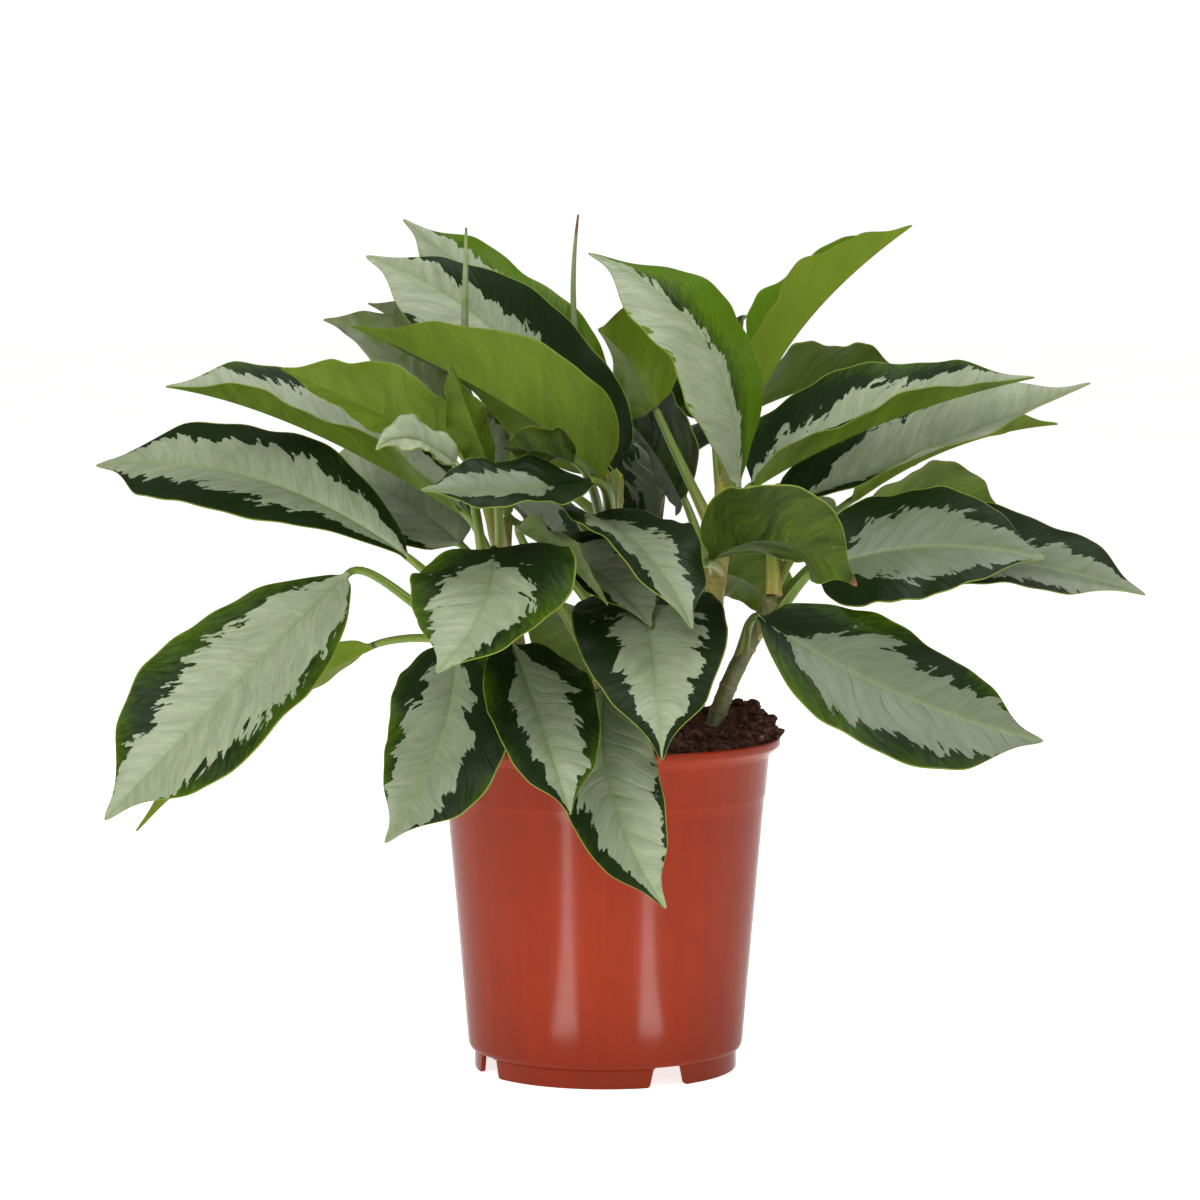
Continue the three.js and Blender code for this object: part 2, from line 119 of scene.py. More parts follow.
def makePiece(name, points, faces, materials, marks=None, faceMaterials=None, sharp=50):
    mesh = bpy.data.meshes.new(name)
    mesh.from_pydata([p * mm for p in points], [], faces)
    for label, values in (marks or {}).items():  # numbers at each point that the materials read
        layer = mesh.attributes.new(label, "FLOAT_VECTOR", "POINT")
        layer.data.foreach_set("vector", [c for value in values for c in value])
    for material in materials:
        mesh.materials.append(material)
    if faceMaterials:
        mesh.polygons.foreach_set("material_index", faceMaterials)
    mesh.shade_smooth()
    mesh.set_sharp_from_angle(angle=radians(sharp))
    return newObject(name, mesh)


def settle(piece, slotName, *nodes):  # every piece rides on the one body of this part
    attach(piece, "root")
    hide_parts(*nodes)
    return piece


# leaves: fleshy blades with a waxy skin, grown flat and cupped by their own weight

leafLook = dict(
    silver="#8D967A",  # air under the skin makes the middle of the blade silver
    # darker silver along the ripples: partly its own streaks, partly painted shade of the bumped relief
    silverShade="#6E785C",
    # painted shade: the silver of a leaf that lies in shade
    silverDeep="#3F4A36",
    green="#15220A",
    greenLit="#456207",  # towards the margin the blade is thinner and yellower
    edge="#66752A",
    rib="#72814F",
    rust="#A8663A",
    brown="#6A4A30",
    under="#4B5E12",
    underShade="#36450B",
    underPale="#7F8868",
    underYoung="#6B8018",
    # painted shade: the underside of a leaf that lies in shade
    underDeep="#1A260A",
    petioleBase="#A48A34",
    petiole="#677C26",
    # painted shade on a petiole
    stalkDeep="#262F10",
    silverShare=0.56,  # of the way from the rib to the margin
    borderSoft=(-0.012, 0.018),  # the silver fades out over this share of half the width
    wander=0.5,  # how far the silver's border strays over the length of a blade
    wanders=2.6,
    fingerReach=0.8,  # as a share of half the width
    fleckReach=0.34,
    # streaks of noise: mm across and along the side veins, how many octaves, and how rough
    fingers=(8, 12, 4, 0.5),
    flecks=(3.2, 3.6, 4, 0.5),
    ripples=(8, 26, 3, 0.5),
    fineRipples=(2.6, 7, 4, 0.5),
    mottle=(3.4, 5, 5, 0.6),
    grain=(0.7, 0.7, 2, 0.5),  # cells of the skin drawn coarse enough to show
    underMottle=(12, 30, 6, 0.62),
    veinGap=11,  # mm from one side vein to the next
    speckRate=0.06,  # places for a rust speck, 17 mm apart, and most of them stay empty
    speckSize=0.075,
    dotRate=0.55,  # fine dots of the underside, 2 mm apart
    ribLines=(1.6, 0.03),  # fine lines of a leaf stalk per mm around it and along it
)


def veinStreaks(add, name, vein, key):
    width, length, octaves, rough = leafLook[name]
    fromRib, veinRun, _ = vein
    run = add("Math", {0: veinRun, 1: width}, operation="DIVIDE")
    out = add("Math", {0: fromRib, 1: length}, operation="DIVIDE")
    where = add("CombineXYZ", {0: run, 1: out, 2: key})
    return add("TexNoise", {"Vector": where, "Scale": 1, "Detail": octaves, "Roughness": rough})


def leafUpperMaterial():
    # Waxy living blade, IOR of a cuticle 1.45: a soft sheen on two flat colours, feathered where they meet.
    look = leafLook
    material, surface, add = newMaterial(
        "waxy variegated blade", Roughness=0.38, IOR=1.45,
        Subsurface_Weight=0.12, Subsurface_Scale=0.0015)
    across, along, key = readMark(add, "bladePlace")
    vein = fromRib, veinRun, fresh = readMark(add, "bladeVein")
    silverExtra, brown, paintedLeafShade = readMark(add, "bladeOwn")
    outward = add("Math", {0: across}, operation="ABSOLUTE")
    ribDistance = add("Math", {0: fromRib}, operation="ABSOLUTE")
    veinDistance = add("Math", {0: veinRun, 1: look["veinGap"] / 2}, operation="PINGPONG")
    fingers, flecks, ripples, fineRipples, mottle, grain = (
        veinStreaks(add, name, vein, key)
        for name in ("fingers", "flecks", "ripples", "fineRipples", "mottle", "grain"))

    # the border: an even share of the half width, a slow wander, jagged fingers and loose flecks
    slowPlace = add("CombineXYZ", {
        0: add("Math", {0: along, 1: look["wanders"]}, operation="MULTIPLY"),
        1: add("Math", {0: across}, operation="SIGN"),
        2: key})
    wander = add("TexNoise", {"Vector": slowPlace, "Scale": 1, "Detail": 1})
    layers = ((wander, look["wander"]), (fingers, look["fingerReach"]), (flecks, look["fleckReach"]))
    mean = look["silverShare"] - sum(reach for _, reach in layers) / 2
    border = add("Math", {0: silverExtra, 1: mean}, operation="ADD")
    for source, reach in layers:
        border = add("Math", {0: source, 1: reach, 2: border}, operation="MULTIPLY_ADD")
    past = add("Math", {0: outward, 1: border}, operation="SUBTRACT")
    first, full = look["borderSoft"]
    isGreen = add("MapRange", {"Value": past, "From Min": first, "From Max": full},
                  interpolation_type="SMOOTHSTEP")

    # the silver darkens where the ripples run high: partly its own streaks, partly painted shade of the
    # relief that the bump raises
    streaksAndShade = add("Math", {0: ripples, 1: fineRipples}, operation="ADD")
    silver = coats(
        add, look, "silver",
        ("silverShade", streaksAndShade, 0.64, 1.42),
        # painted shade: below nought the leaf's own value darkens its silver, for a leaf that lies in shade
        ("silverDeep", paintedLeafShade, 0, -1),
        ("rib", veinDistance, 1.2, 0.2, 0.08, "SMOOTHSTEP"),  # mm
        ("rib", ribDistance, 2.4, 0.2, 0.5, "SMOOTHSTEP"))

    # the green is lightest outwards, in patches, and in a young leaf
    youth = add("Math", {0: fresh, 1: 0.9, 2: 0.5}, operation="MULTIPLY_ADD")
    lit = add("Math", {0: outward, 1: wander}, operation="MULTIPLY")
    lit = add("Math", {0: lit, 1: youth}, operation="MULTIPLY")
    lit = add("Math", {0: fresh, 1: 0.22, 2: lit}, operation="MULTIPLY_ADD")
    patches = add("MapRange", {"Value": mottle, "To Min": 0.45, "To Max": 1.5})
    lit = add("Math", {0: lit, 1: patches}, operation="MULTIPLY")
    green = coats(add, look, "green", ("greenLit", lit, 0.32, 0.74))
    colour = add("Mix", {0: isGreen, 6: silver, 7: green}, data_type="RGBA")

    # a few rust coloured specks, and the withered tip of an old leaf
    speckPlace = add("CombineXYZ", {0: fromRib, 1: veinRun, 2: key})
    speckDots = add("TexVoronoi", {"Vector": speckPlace, "Scale": look["speckRate"]})
    speckPick = add("SeparateColor", {0: speckDots.outputs["Color"]})
    speckSize = add("MapRange", {"Value": speckPick, "From Min": 0.84, "To Max": look["speckSize"]})
    isSpeck = add("Math", {0: speckDots, 1: speckSize}, operation="LESS_THAN")
    witherLine = add("Math", {0: wander, 1: -0.1, 2: 1.07}, operation="MULTIPLY_ADD")
    witherLine = add("Math", {0: witherLine, 1: brown}, operation="SUBTRACT")
    withered = add("Math", {0: along, 1: witherLine}, operation="GREATER_THAN")
    ridge = add("MapRange", {"Value": veinDistance, "From Max": 1.6, "To Min": -0.2, "To Max": 0},
                interpolation_type="SMOOTHSTEP")
    height = add("Math", {0: grain, 1: 0.05, 2: ridge}, operation="MULTIPLY_ADD")
    height = add("Math", {0: ripples, 1: 1.1, 2: height}, operation="MULTIPLY_ADD")
    setInputs(surface, {
        "Base Color": coats(
            add, look, colour,
            ("edge", outward, 0.975, 0.99), ("rust", isSpeck, 0, 1), ("brown", withered, 0, 1)),
        "Specular IOR Level": add("MapRange", {"Value": isGreen, "To Min": 0.32, "To Max": 0.08}),
        "Roughness": add("MapRange", {"Value": grain, "To Min": 0.3, "To Max": 0.48}),
        "Normal": add("Bump", {"Strength": 0.6, "Distance": mm, "Height": height})})
    return material


def leafUnderMaterial():
    # The same flesh without wax: plain green, duller, with the side veins standing out a little.
    look = leafLook
    material, surface, add = newMaterial(
        "dull leaf underside", Roughness=0.5, IOR=1.43, Specular_IOR_Level=0.14,
        Subsurface_Weight=0.2, Subsurface_Scale=0.0015)
    across, along, key = readMark(add, "bladePlace")
    vein = fromRib, veinRun, fresh = readMark(add, "bladeVein")
    _, brown, greyAndShade = readMark(add, "bladeOwn")
    mottle = veinStreaks(add, "underMottle", vein, key)
    pale = add("Math", {0: greyAndShade, 1: mottle}, operation="MULTIPLY")
    dotPlace = add("CombineXYZ", {0: fromRib, 1: veinRun, 2: key})
    dots = add("TexNoise", {"Vector": dotPlace, "Scale": look["dotRate"], "Detail": 4})
    towardsTip = add("Math", {0: along, 1: brown}, operation="ADD")
    outward = add("Math", {0: across}, operation="ABSOLUTE")
    veinDistance = add("Math", {0: veinRun, 1: look["veinGap"] / 2}, operation="PINGPONG")
    ridge = add("MapRange", {"Value": veinDistance, "From Max": 1.2, "To Min": 0.25, "To Max": 0},
                interpolation_type="SMOOTHSTEP")
    height = add("Math", {0: mottle, 1: 0.4, 2: ridge}, operation="MULTIPLY_ADD")
    setInputs(surface, {
        "Base Color": coats(
            add, look, "under",
            ("underShade", mottle, 0.32, 0.68),
            ("underYoung", fresh, 0.4, 1.4, 0.8),
            ("underPale", pale, 0.2, 0.6),
            # painted shade: below nought the same value darkens the underside, unevenly, for a leaf that
            # lies in shade
            ("underDeep", pale, -0.1, -0.6),
            ("underPale", dots, 0.64, 0.8, 0.35),
            ("brown", towardsTip, 1, 1.03),
            ("edge", outward, 0.965, 0.99)),
        "Normal": add("Bump", {"Strength": 0.6, "Distance": mm, "Height": height})})
    return material


def petioleMaterial():
    # Juicy leaf stalk: smooth, translucent, yellow where the sheath kept the light off, with fine ribs.
    look = leafLook
    material, surface, add = newMaterial(
        "fleshy leaf stalk", Roughness=0.42, IOR=1.43, Subsurface_Weight=0.2, Subsurface_Scale=0.002)
    _, along, key = readMark(add, "bladePlace")
    around, run, shaded = readMark(add, "bladeVein")
    lines, drawn = look["ribLines"]
    where = add("CombineXYZ", {
        0: add("Math", {0: around, 1: lines}, operation="MULTIPLY"),
        1: add("Math", {0: run, 1: drawn}, operation="MULTIPLY"),
        2: key})
    fibres = add("TexNoise", {"Vector": where, "Scale": 1, "Detail": 3})
    upwards = add("Math", {0: fibres, 1: 0.35, 2: along}, operation="MULTIPLY_ADD")
    # painted shade: the stalk value darkens the whole petiole, unevenly along its fibres
    shade = add("Math", {0: shaded, 1: fibres, 2: shaded}, operation="MULTIPLY_ADD")
    setInputs(surface, {
        "Base Color": coats(
            add, look, "petioleBase", ("petiole", upwards, -1, -0.45), ("stalkDeep", shade, 0, 1)),
        "Normal": add("Bump", {"Strength": 0.5, "Distance": 0.3 * mm, "Height": fibres})})
    return material


# where everything grows: the canes' middle lines and each leaf's rib, in millimetres

canes = {
    "front": dict(start=7, end=4.5, line=(
        (-4, -22, 120), (-3, -24, 190), (4, -26, 240), (8, -24, 272))),
    "left": dict(start=7, end=4.5, line=(
        (-40, -24, 120), (-42, -26, 190), (-52, -32, 232), (-62, -36, 262))),
    "left_back": dict(start=6.5, end=4.5, line=(
        (-42, 22, 120), (-44, 20, 190), (-52, 8, 250), (-60, -4, 304))),
    "centre": dict(start=7, end=4.5, line=(
        (-2, 30, 120), (-2, 30, 190), (2, 26, 260), (6, 20, 326))),
    "middle": dict(start=6.5, end=4.8, line=(
        (44, 18, 120), (48, 16, 190), (60, 6, 260), (66, -2, 326))),
    "right": dict(start=5.2, end=4.6, line=(
        (54, -26, 120), (58, -26, 186), (66, -27, 211), (91, -28, 262))),
    "back": dict(start=6.5, end=4.5, line=(
        (8, 62, 120), (8, 66, 190), (8, 74, 236), (10, 80, 276))),
}

# What most leaves have, unless their rows say otherwise. at: height on the cane where the leaf grows.
# rib: its start, middle and tip. face: the way its upper side looks. half: half its width. belly: where it
# is widest. silver: more of it or less. These three can differ between the left-hand and the right-hand
# half, as seen from the base. fold: degrees that both halves stand up. rise: how steeply the petiole sets
# out. lean: silver gained towards the tip. base: silver lost at the base. tip: silver gained in the tip.
# fresh: how light the leaf still is. brown: the withered share of the tip. pale: how grey its
# underside is, or below nought how much painted shade darkens the leaf. stalk: how much painted shade
# darkens its petiole.
usualLeaf = dict(
    fold=8, belly=0.43, rise=0.6, rolled=False, silver=0, lean=0, base=0.2, tip=0.5, fresh=0.3, brown=0,
    pale=0, stalk=0.15)

leaves = {}
leaves["front"] = [
    dict(at=236, face=(0, -0.6, 0.8), half=41, belly=0.38, silver=(0.14, 0), base=0.5, tip=-0.25,
        fresh=0.1, rib=((18, -46, 261), (24, -128, 239), (28, -186, 191))),
    dict(at=268, face=(0.4, -0.65, 0.65), half=(31, 38), fold=12, belly=0.38, silver=(-0.14, 0.1),
        base=0.45, fresh=0, pale=-0.25, rib=((-13, -37, 304), (19, -100, 292), (44, -150, 254))),
    dict(at=240, face=(0.25, -0.6, 0.75), half=26, fold=10, silver=0.1, base=0.5, fresh=0,
        rib=((-31, -42, 292), (-2, -64, 275), (24, -106, 251))),
    dict(at=212, face=(0.05, -0.95, 0.3), half=27, fold=10, silver=(0.4, 0.05), lean=-0.3, tip=0.2,
        fresh=0.1, pale=-0.3, rib=((-1, -76, 216), (3, -124, 165), (31, -136, 108))),
    dict(at=214, face=(0.55, 0.2, 0.4), half=15, fold=14, pale=0.6,
        rib=((-45, -58, 300), (-21, -96, 286), (1, -122, 264))),
]
leaves["left"] = [
    dict(at=236, face=(-0.1, -0.6, 0.8), half=(46, 40), fold=6, belly=0.36, silver=(0, 0.06), base=0.7,
        fresh=0.35, rib=((-59, -80, 290), (-63, -146, 265), (-85, -186, 235))),
    dict(at=204, face=(-0.2, -0.85, 0.45), half=(40, 30), fold=6, belly=(0.5, 0.34), silver=(-0.06, 0.09),
        lean=0.3, pale=-0.25, rib=((-80, -56, 240), (-87, -104, 191), (-114, -136, 142))),
    dict(at=218, face=(0.1, -0.85, 0.45), half=(31, 26), belly=0.42, silver=(0.1, -0.08), base=0.4,
        tip=0.05, pale=-0.2, rib=((-49, -74, 239), (-33, -132, 202), (-18, -162, 160))),
    dict(at=248, face=(0.1, -0.7, 0.65), half=35, fold=4, belly=(0.6, 0.52), rise=0.3,
        silver=(-0.06, 0.04), base=0.1, fresh=0.1, pale=-0.15,
        rib=((-106, -38, 283), (-192, 8, 323), (-286, 64, 328))),
    dict(at=226, face=(-0.3, -0.75, 0.5), half=(48, 44), fold=6, belly=(0.51, 0.53), rise=0.2,
        silver=(0.2, 0.02), lean=-0.15, base=0, fresh=0.4,
        rib=((-139, -35, 274), (-200, -72, 215), (-264, -92, 148))),
    dict(at=211, face=(-0.45, 0.6, 0.6), half=22, fold=16, fresh=1.1, stalk=0,
        rib=((-128, 14, 231), (-194, 34, 190), (-262, 34, 125))),
    dict(at=243, face=(-0.1, -0.6, 0.75), half=(38, 30), belly=(0.36, 0.43), silver=0.3, base=0,
        rib=((-80, 26, 286), (-124, 62, 314), (-174, 92, 324))),
    dict(at=260, face=(0.1, -0.7, 0.7), half=12, fold=20, rise=0.5, silver=0.6, fresh=0.6, pale=1.6,
        rib=((-78, -96, 335), (-101, -108, 349), (-119, -112, 344))),
]
leaves["left_back"] = [
    dict(at=254, face=(0, -0.1, 0.95), half=(24, 44), fold=32, belly=0.38, silver=0.1,
        rib=((-78, -20, 307), (-165, -8, 353), (-239, -8, 374))),
    dict(at=286, face=(0, 0.6, 0.75), half=28, fold=14, fresh=0.7, pale=0.3,
        rib=((-82, -48, 343), (-123, -60, 364), (-172, -62, 385))),
    dict(at=280, face=(-0.6, 0.75, 0.2), half=(18, 12), fold=26, rise=0.3,
        rib=((-60, -66, 327), (-71, -84, 358), (-82, -76, 389))),
    dict(at=284, face=(-0.4, 0.6, 0.6), half=(19, 26), fold=30, pale=0.8,
        rib=((-69, 10, 344), (-114, 16, 389), (-155, 20, 410))),
    dict(at=268, face=(0.1, 0.2, 0.9), half=13, fold=36, rise=0.4, silver=0.3, pale=1.2,
        rib=((-58, 28, 371), (-100, 32, 401), (-131, 30, 419))),
    dict(at=303, face=(0, -1, 0.1), half=2.6, rolled=True, fresh=1.4, brown=0.04, pale=1, stalk=0,
        rib=((-77, -20, 356), (-76, -23, 408), (-75, -24, 460))),
]
leaves["centre"] = [
    dict(at=284, face=(-0.1, 0.62, 0.62), half=(36, 40), fold=30, belly=0.38, fresh=0.75,
        rib=((-2, -40, 326), (-52, -62, 367), (-136, -36, 407))),
    dict(at=300, face=(-0.2, -0.6, 0.75), half=(40, 33), belly=(0.56, 0.35), silver=(0.25, -0.15),
        lean=0.5, base=0.5, fresh=0, rib=((4, 2, 328), (-58, 14, 402), (-132, 32, 445))),
    dict(at=308, face=(0.3, -0.5, 0.8), half=(41, 35), fold=12, belly=(0.58, 0.36), silver=(0.2, -0.2),
        lean=0.5, fresh=1, rib=((-5, 40, 349), (-55, 64, 412), (-114, 84, 466))),
    dict(at=262, face=(0, -0.55, 0.85), half=24, rise=0.5, silver=(0.05, -0.05), base=1.2, fresh=0,
        pale=-0.5, rib=((-9, -76, 326), (-52, -112, 323), (-95, -128, 324))),
    dict(at=272, face=(0, 0.8, 0.5), half=13, fold=14, rise=0.5, pale=-0.8,
        rib=((-18, -68, 337), (-35, -84, 343), (-54, -88, 344))),
    dict(at=268, face=(0.2, -0.8, 0.5), half=13, fold=20, silver=0.3, pale=1.2,
        rib=((-55, 30, 304), (-65, 40, 338), (-73, 42, 359))),
    dict(at=292, face=(-0.2, 0.7, 0.6), half=24, fold=10,
        rib=((-32, 28, 326), (-50, 48, 357), (-67, 54, 375))),
    dict(at=322, face=(0, -1, 0.1), half=2.2, rolled=True, fresh=1.4, brown=0.1, pale=0.8, stalk=0,
        rib=((-6, 26, 344), (-17, 34, 404), (-15, 34, 468))),
]
leaves["middle"] = [
    dict(at=320, face=(0.7, -0.6, 0.4), half=(34, 45), fold=-10, belly=(0.48, 0.45), silver=(0.5, -0.46),
        lean=-0.2, base=0, fresh=1.5, rib=((71, -40, 322), (52, -62, 399), (-9, -44, 446))),
    dict(at=326, face=(-0.6, 0.15, 0.75), half=(36, 26), fold=44, silver=-0.1, lean=0.3, fresh=1.2,
        rib=((86, 18, 375), (119, 28, 420), (170, 42, 462))),
    dict(at=310, face=(0, 0.1, 0.95), half=(22, 36), fold=36, belly=(0.43, 0.3),
        rib=((78, 44, 360), (119, 66, 374), (170, 84, 382))),
    dict(at=278, face=(0, -0.15, 0.95), half=(41, 19), fold=36, belly=(0.34, 0.4), silver=-0.04,
        rib=((79, -22, 321), (150, -18, 356), (233, -8, 379))),
    dict(at=286, face=(0.2, 0.8, 0.5), half=34, fold=6, fresh=0.9, pale=-0.1,
        rib=((28, 40, 361), (14, 58, 387), (-4, 78, 404))),
    dict(at=262, face=(0, 0.8, 0.5), half=36, fold=10, pale=-1,
        rib=((44, 40, 310), (24, 86, 342), (-2, 126, 364))),
    dict(at=298, face=(0, 0.7, 0.7), half=32, fold=20, brown=0.1, pale=-0.6,
        rib=((62, 62, 354), (67, 100, 385), (71, 130, 408))),
    dict(at=238, face=(0.1, 0.8, 0.4), half=22, fold=10,
        rib=((59, 26, 271), (81, 44, 264), (105, 60, 240))),
    dict(at=270, face=(0, 0.85, 0.5), half=31, fold=16, rise=0.3, brown=0.04, pale=-0.8,
        rib=((56, -84, 286), (90, -124, 298), (128, -148, 276))),
]
leaves["right"] = [
    dict(at=226, face=(0.1, -0.75, 0.6), half=(36, 44), fold=4, belly=(0.38, 0.54), silver=(0.08, 0.14),
        base=0.75, pale=-0.6, stalk=0.5, rib=((82, -56, 252), (153, -90, 215), (229, -102, 191))),
    dict(at=239, face=(0, -0.7, 0.7), half=(38, 43), fold=4, belly=(0.43, 0.37), rise=0.4, silver=0.04,
        base=0.3, fresh=0, pale=-0.65, rib=((113, -30, 275), (171, -44, 289), (234, -58, 284))),
    dict(at=234, face=(0.1, -0.6, 0.75), half=(36, 30), fold=6, belly=(0.42, 0.43), rise=0.5,
        silver=(-0.1, 0.25), fresh=0.1, pale=-0.55,
        rib=((128, 12, 282), (213, -6, 280), (290, -40, 263))),
    dict(at=261, face=(0, -0.4, 0.9), half=(36, 23), fold=20, belly=(0.36, 0.4), rise=0.7,
        silver=(0.3, 0.7), lean=1.3, pale=0.8, rib=((96, 16, 307), (183, 22, 340), (268, 30, 375))),
    dict(at=250, face=(0, 0.4, 0.9), half=24, fold=16, fresh=0.6,
        rib=((137, 50, 309), (194, 62, 339), (255, 72, 351))),
    dict(at=218, face=(0, 0.6, 0.8), half=24, rib=((142, 64, 292), (184, 88, 311), (225, 108, 302))),
]
leaves["back"] = [
    dict(at=250, face=(-0.2, 0.5, 0.85), half=38, fold=10, pale=-0.8,
        rib=((-26, 100, 270), (-54, 140, 302), (-92, 178, 292))),
    dict(at=264, face=(0, 0.5, 0.85), half=40, fold=14, belly=0.34, pale=-1,
        rib=((30, 118, 289), (38, 154, 332), (42, 184, 342))),
    dict(at=240, face=(0.2, 0.5, 0.85), half=38, pale=-0.8,
        rib=((46, 98, 262), (90, 130, 292), (142, 164, 284))),
    dict(at=224, face=(0, 0.85, 0.5), half=36, rib=((-6, 104, 240), (-12, 152, 224), (-18, 180, 178))),
]


blade = dict(
    rows=62,  # rings along the blade, closer together at both ends
    endCrowd=0.4,
    half=12,  # columns from the rib to each margin, closer together near the rib
    crowd=1.5,
    opens=0.035,  # over this share of its length the stalk opens into the blade
    thick=0.8,
    marginThin=0.45,  # of that, gone at the margin
    taper=0.8,
    tipWidth=0.5,
    tipDraw=0.6,  # how much the last stretch is drawn in to a drip tip
    drawFrom=0.78,
    drawTo=0.96,
    rough=0.03,  # unevenness of the margin, as a share of the width
    roughRate=9,
    rollTaper=0.7,
    seamTurn=4.2,  # radians to the seam of a rolled leaf, which winds about it
    seamTwist=1.5,
    seamWidth=0.3,
    seamDepth=0.3,
    ribDepth=2.2,
    ribTaper=0.8,
    ribWidth=1.7,  # mm from its middle to where the rib has sunk into the blade
    groove=0.45,  # the rib's channel in the upper side
    grooveWidth=1.1,
    cup=10,  # degrees, each half rises towards its margin
    arch=2.4,  # mm, each half arches between the rib and the margin
    wave=2.6,
    waves=2.3,
    waveShift=0.35,
    nextWave=0.382,  # each leaf's waves are shifted by this much more
    keyStep=7.31,  # sets each leaf's own place in the noises
    frill=0.6,  # mm, small waves of the margin
    frills=3.1,  # of them on one wave
    heave=2.4,  # mm, uneven growth lifts and sinks parts of the blade
    heaveRate=5,
    quilt=0.28,  # mm, the blade's swell between side veins, in some parts more than in others
    quiltVary=1.6,
    quiltRate=4,
    veinLean=0.8,  # how far side veins lean to the tip
    veinArc=0.006,
    veinStray=9,  # mm, side veins stand unevenly apart
    strayRate=7,
    strayFrom=5,  # mm from the rib
    baseEnd=0.42,  # up to here a green base can hold the silver back
    tipStart=0.75,
)

petiole = dict(
    rows=20,
    bladeEnd=2.0,
    caneEnd=3.6,
    taper=0.7,
    handle=0.4,
    channel=0.45,  # depth of the channel in its upper side, as a share of its radius
    channelEdge=6,  # the higher, the narrower the channel
    sheath=0.3,  # how much wider its foot is, where it clasps the cane
    sheathEnd=0.45,
)


def smoothLine(points, t):  # centripetal Catmull-Rom through the points, t from 0 to 1
    knots = [2 * points[0] - points[1], *points, 2 * points[-1] - points[-2]]
    spans = len(points) - 1
    k = min(int(t * spans), spans - 1)
    local = t * spans - k
    a, b, c, d = knots[k:k + 4]
    before, here, after = (sqrt((q - p).length) for p, q in ((a, b), (b, c), (c, d)))
    leave = (b - a) / before - (c - a) / (before + here) + (c - b) / here
    arrive = (c - b) / here - (d - b) / (here + after) + (d - c) / after
    leave, arrive = leave * here, arrive * here
    cubic = 2 * b - 2 * c + leave + arrive
    square = 3 * (c - b) - 2 * leave - arrive
    return ((cubic * local + square) * local + leave) * local + b


def caneAt(cane, height, steps=100):
    points = (smoothLine(cane["points"], k / steps) for k in range(steps + 1))
    return next((p for p in points if p.z >= height), cane["points"][-1])


def bezier(a, b, c, d, t):
    s = 1 - t
    return a * s ** 3 + b * (3 * s * s * t) + c * (3 * s * t * t) + d * t ** 3


def bezierHeading(a, b, c, d, t):
    s = 1 - t
    return ((b - a) * s * s + (c - b) * (2 * s * t) + (d - c) * t * t).normalized()


def outline(t, belly):  # half the blade's width as a share of the widest
    swell = blade["taper"] * belly / (1 - belly)
    share = (t / belly) ** swell * ((1 - t) / (1 - belly)) ** blade["taper"]
    return share * (1 - blade["tipDraw"] * smoothStep(blade["drawFrom"], blade["drawTo"], t))


def bladePoint(leaf, t, v, surface, frameAt):  # the point, and its place for the materials
    def uneven(rate, place, kind=0):  # slow change along the blade, different for each leaf
        return noise.noise(Vector((rate * t, place, leaf["key"] + kind)))

    point, up, side = frameAt
    hand = copysign(1, v)
    half = 0 if v > 0 else 1
    share = outline(t, leaf["belly"][half])
    rough = 1 + blade["rough"] * uneven(blade["roughRate"], 3 * hand)
    width = leaf["half"][half] * share * rough + blade["tipWidth"]
    away = abs(v) * width
    lift = radians(leaf["fold"] + blade["cup"] * abs(v) / 2)
    phase = blade["waves"] * t + leaf["turn"] + (blade["waveShift"] if v > 0 else 0)
    high = blade["wave"] * v * v * share * sin(2 * pi * phase)
    high += blade["arch"] * sin(pi * abs(v)) * share
    high += blade["heave"] * abs(v) * share * uneven(blade["heaveRate"], 1.5 * v)
    frill = blade["frills"] * phase + leaf["key"]
    high += blade["frill"] * v ** 4 * share * sin(2 * pi * frill)
    stray = blade["veinStray"] * uneven(blade["strayRate"], 2 * hand, 9)
    veinRun = t * leaf["length"] + stray * min(away / blade["strayFrom"], 1)
    veinRun -= away * (blade["veinLean"] + blade["veinArc"] * away)
    swell = sin(pi * min(abs(v), 1)) * share
    swell *= 1 + blade["quiltVary"] * uneven(blade["quiltRate"], 2 * v, 5)
    high -= blade["quilt"] * swell * cos(2 * pi * veinRun / leafLook["veinGap"])
    if surface > 0:
        high -= blade["groove"] * exp(-(away / blade["grooveWidth"]) ** 2) * (1 - t)
    else:
        keel = blade["ribDepth"] * (1 - t) ** blade["ribTaper"]
        high -= keel * exp(-(away / blade["ribWidth"]) ** 2)
    skinOut = surface * blade["thick"] * (1 - blade["marginThin"] * v * v) / 2
    out = v * width * cos(lift) - hand * (v != 0) * skinOut * sin(lift)
    high += away * sin(lift) + skinOut * cos(lift)
    return point + side * out + up * high, (v * width, veinRun, leaf["fresh"])


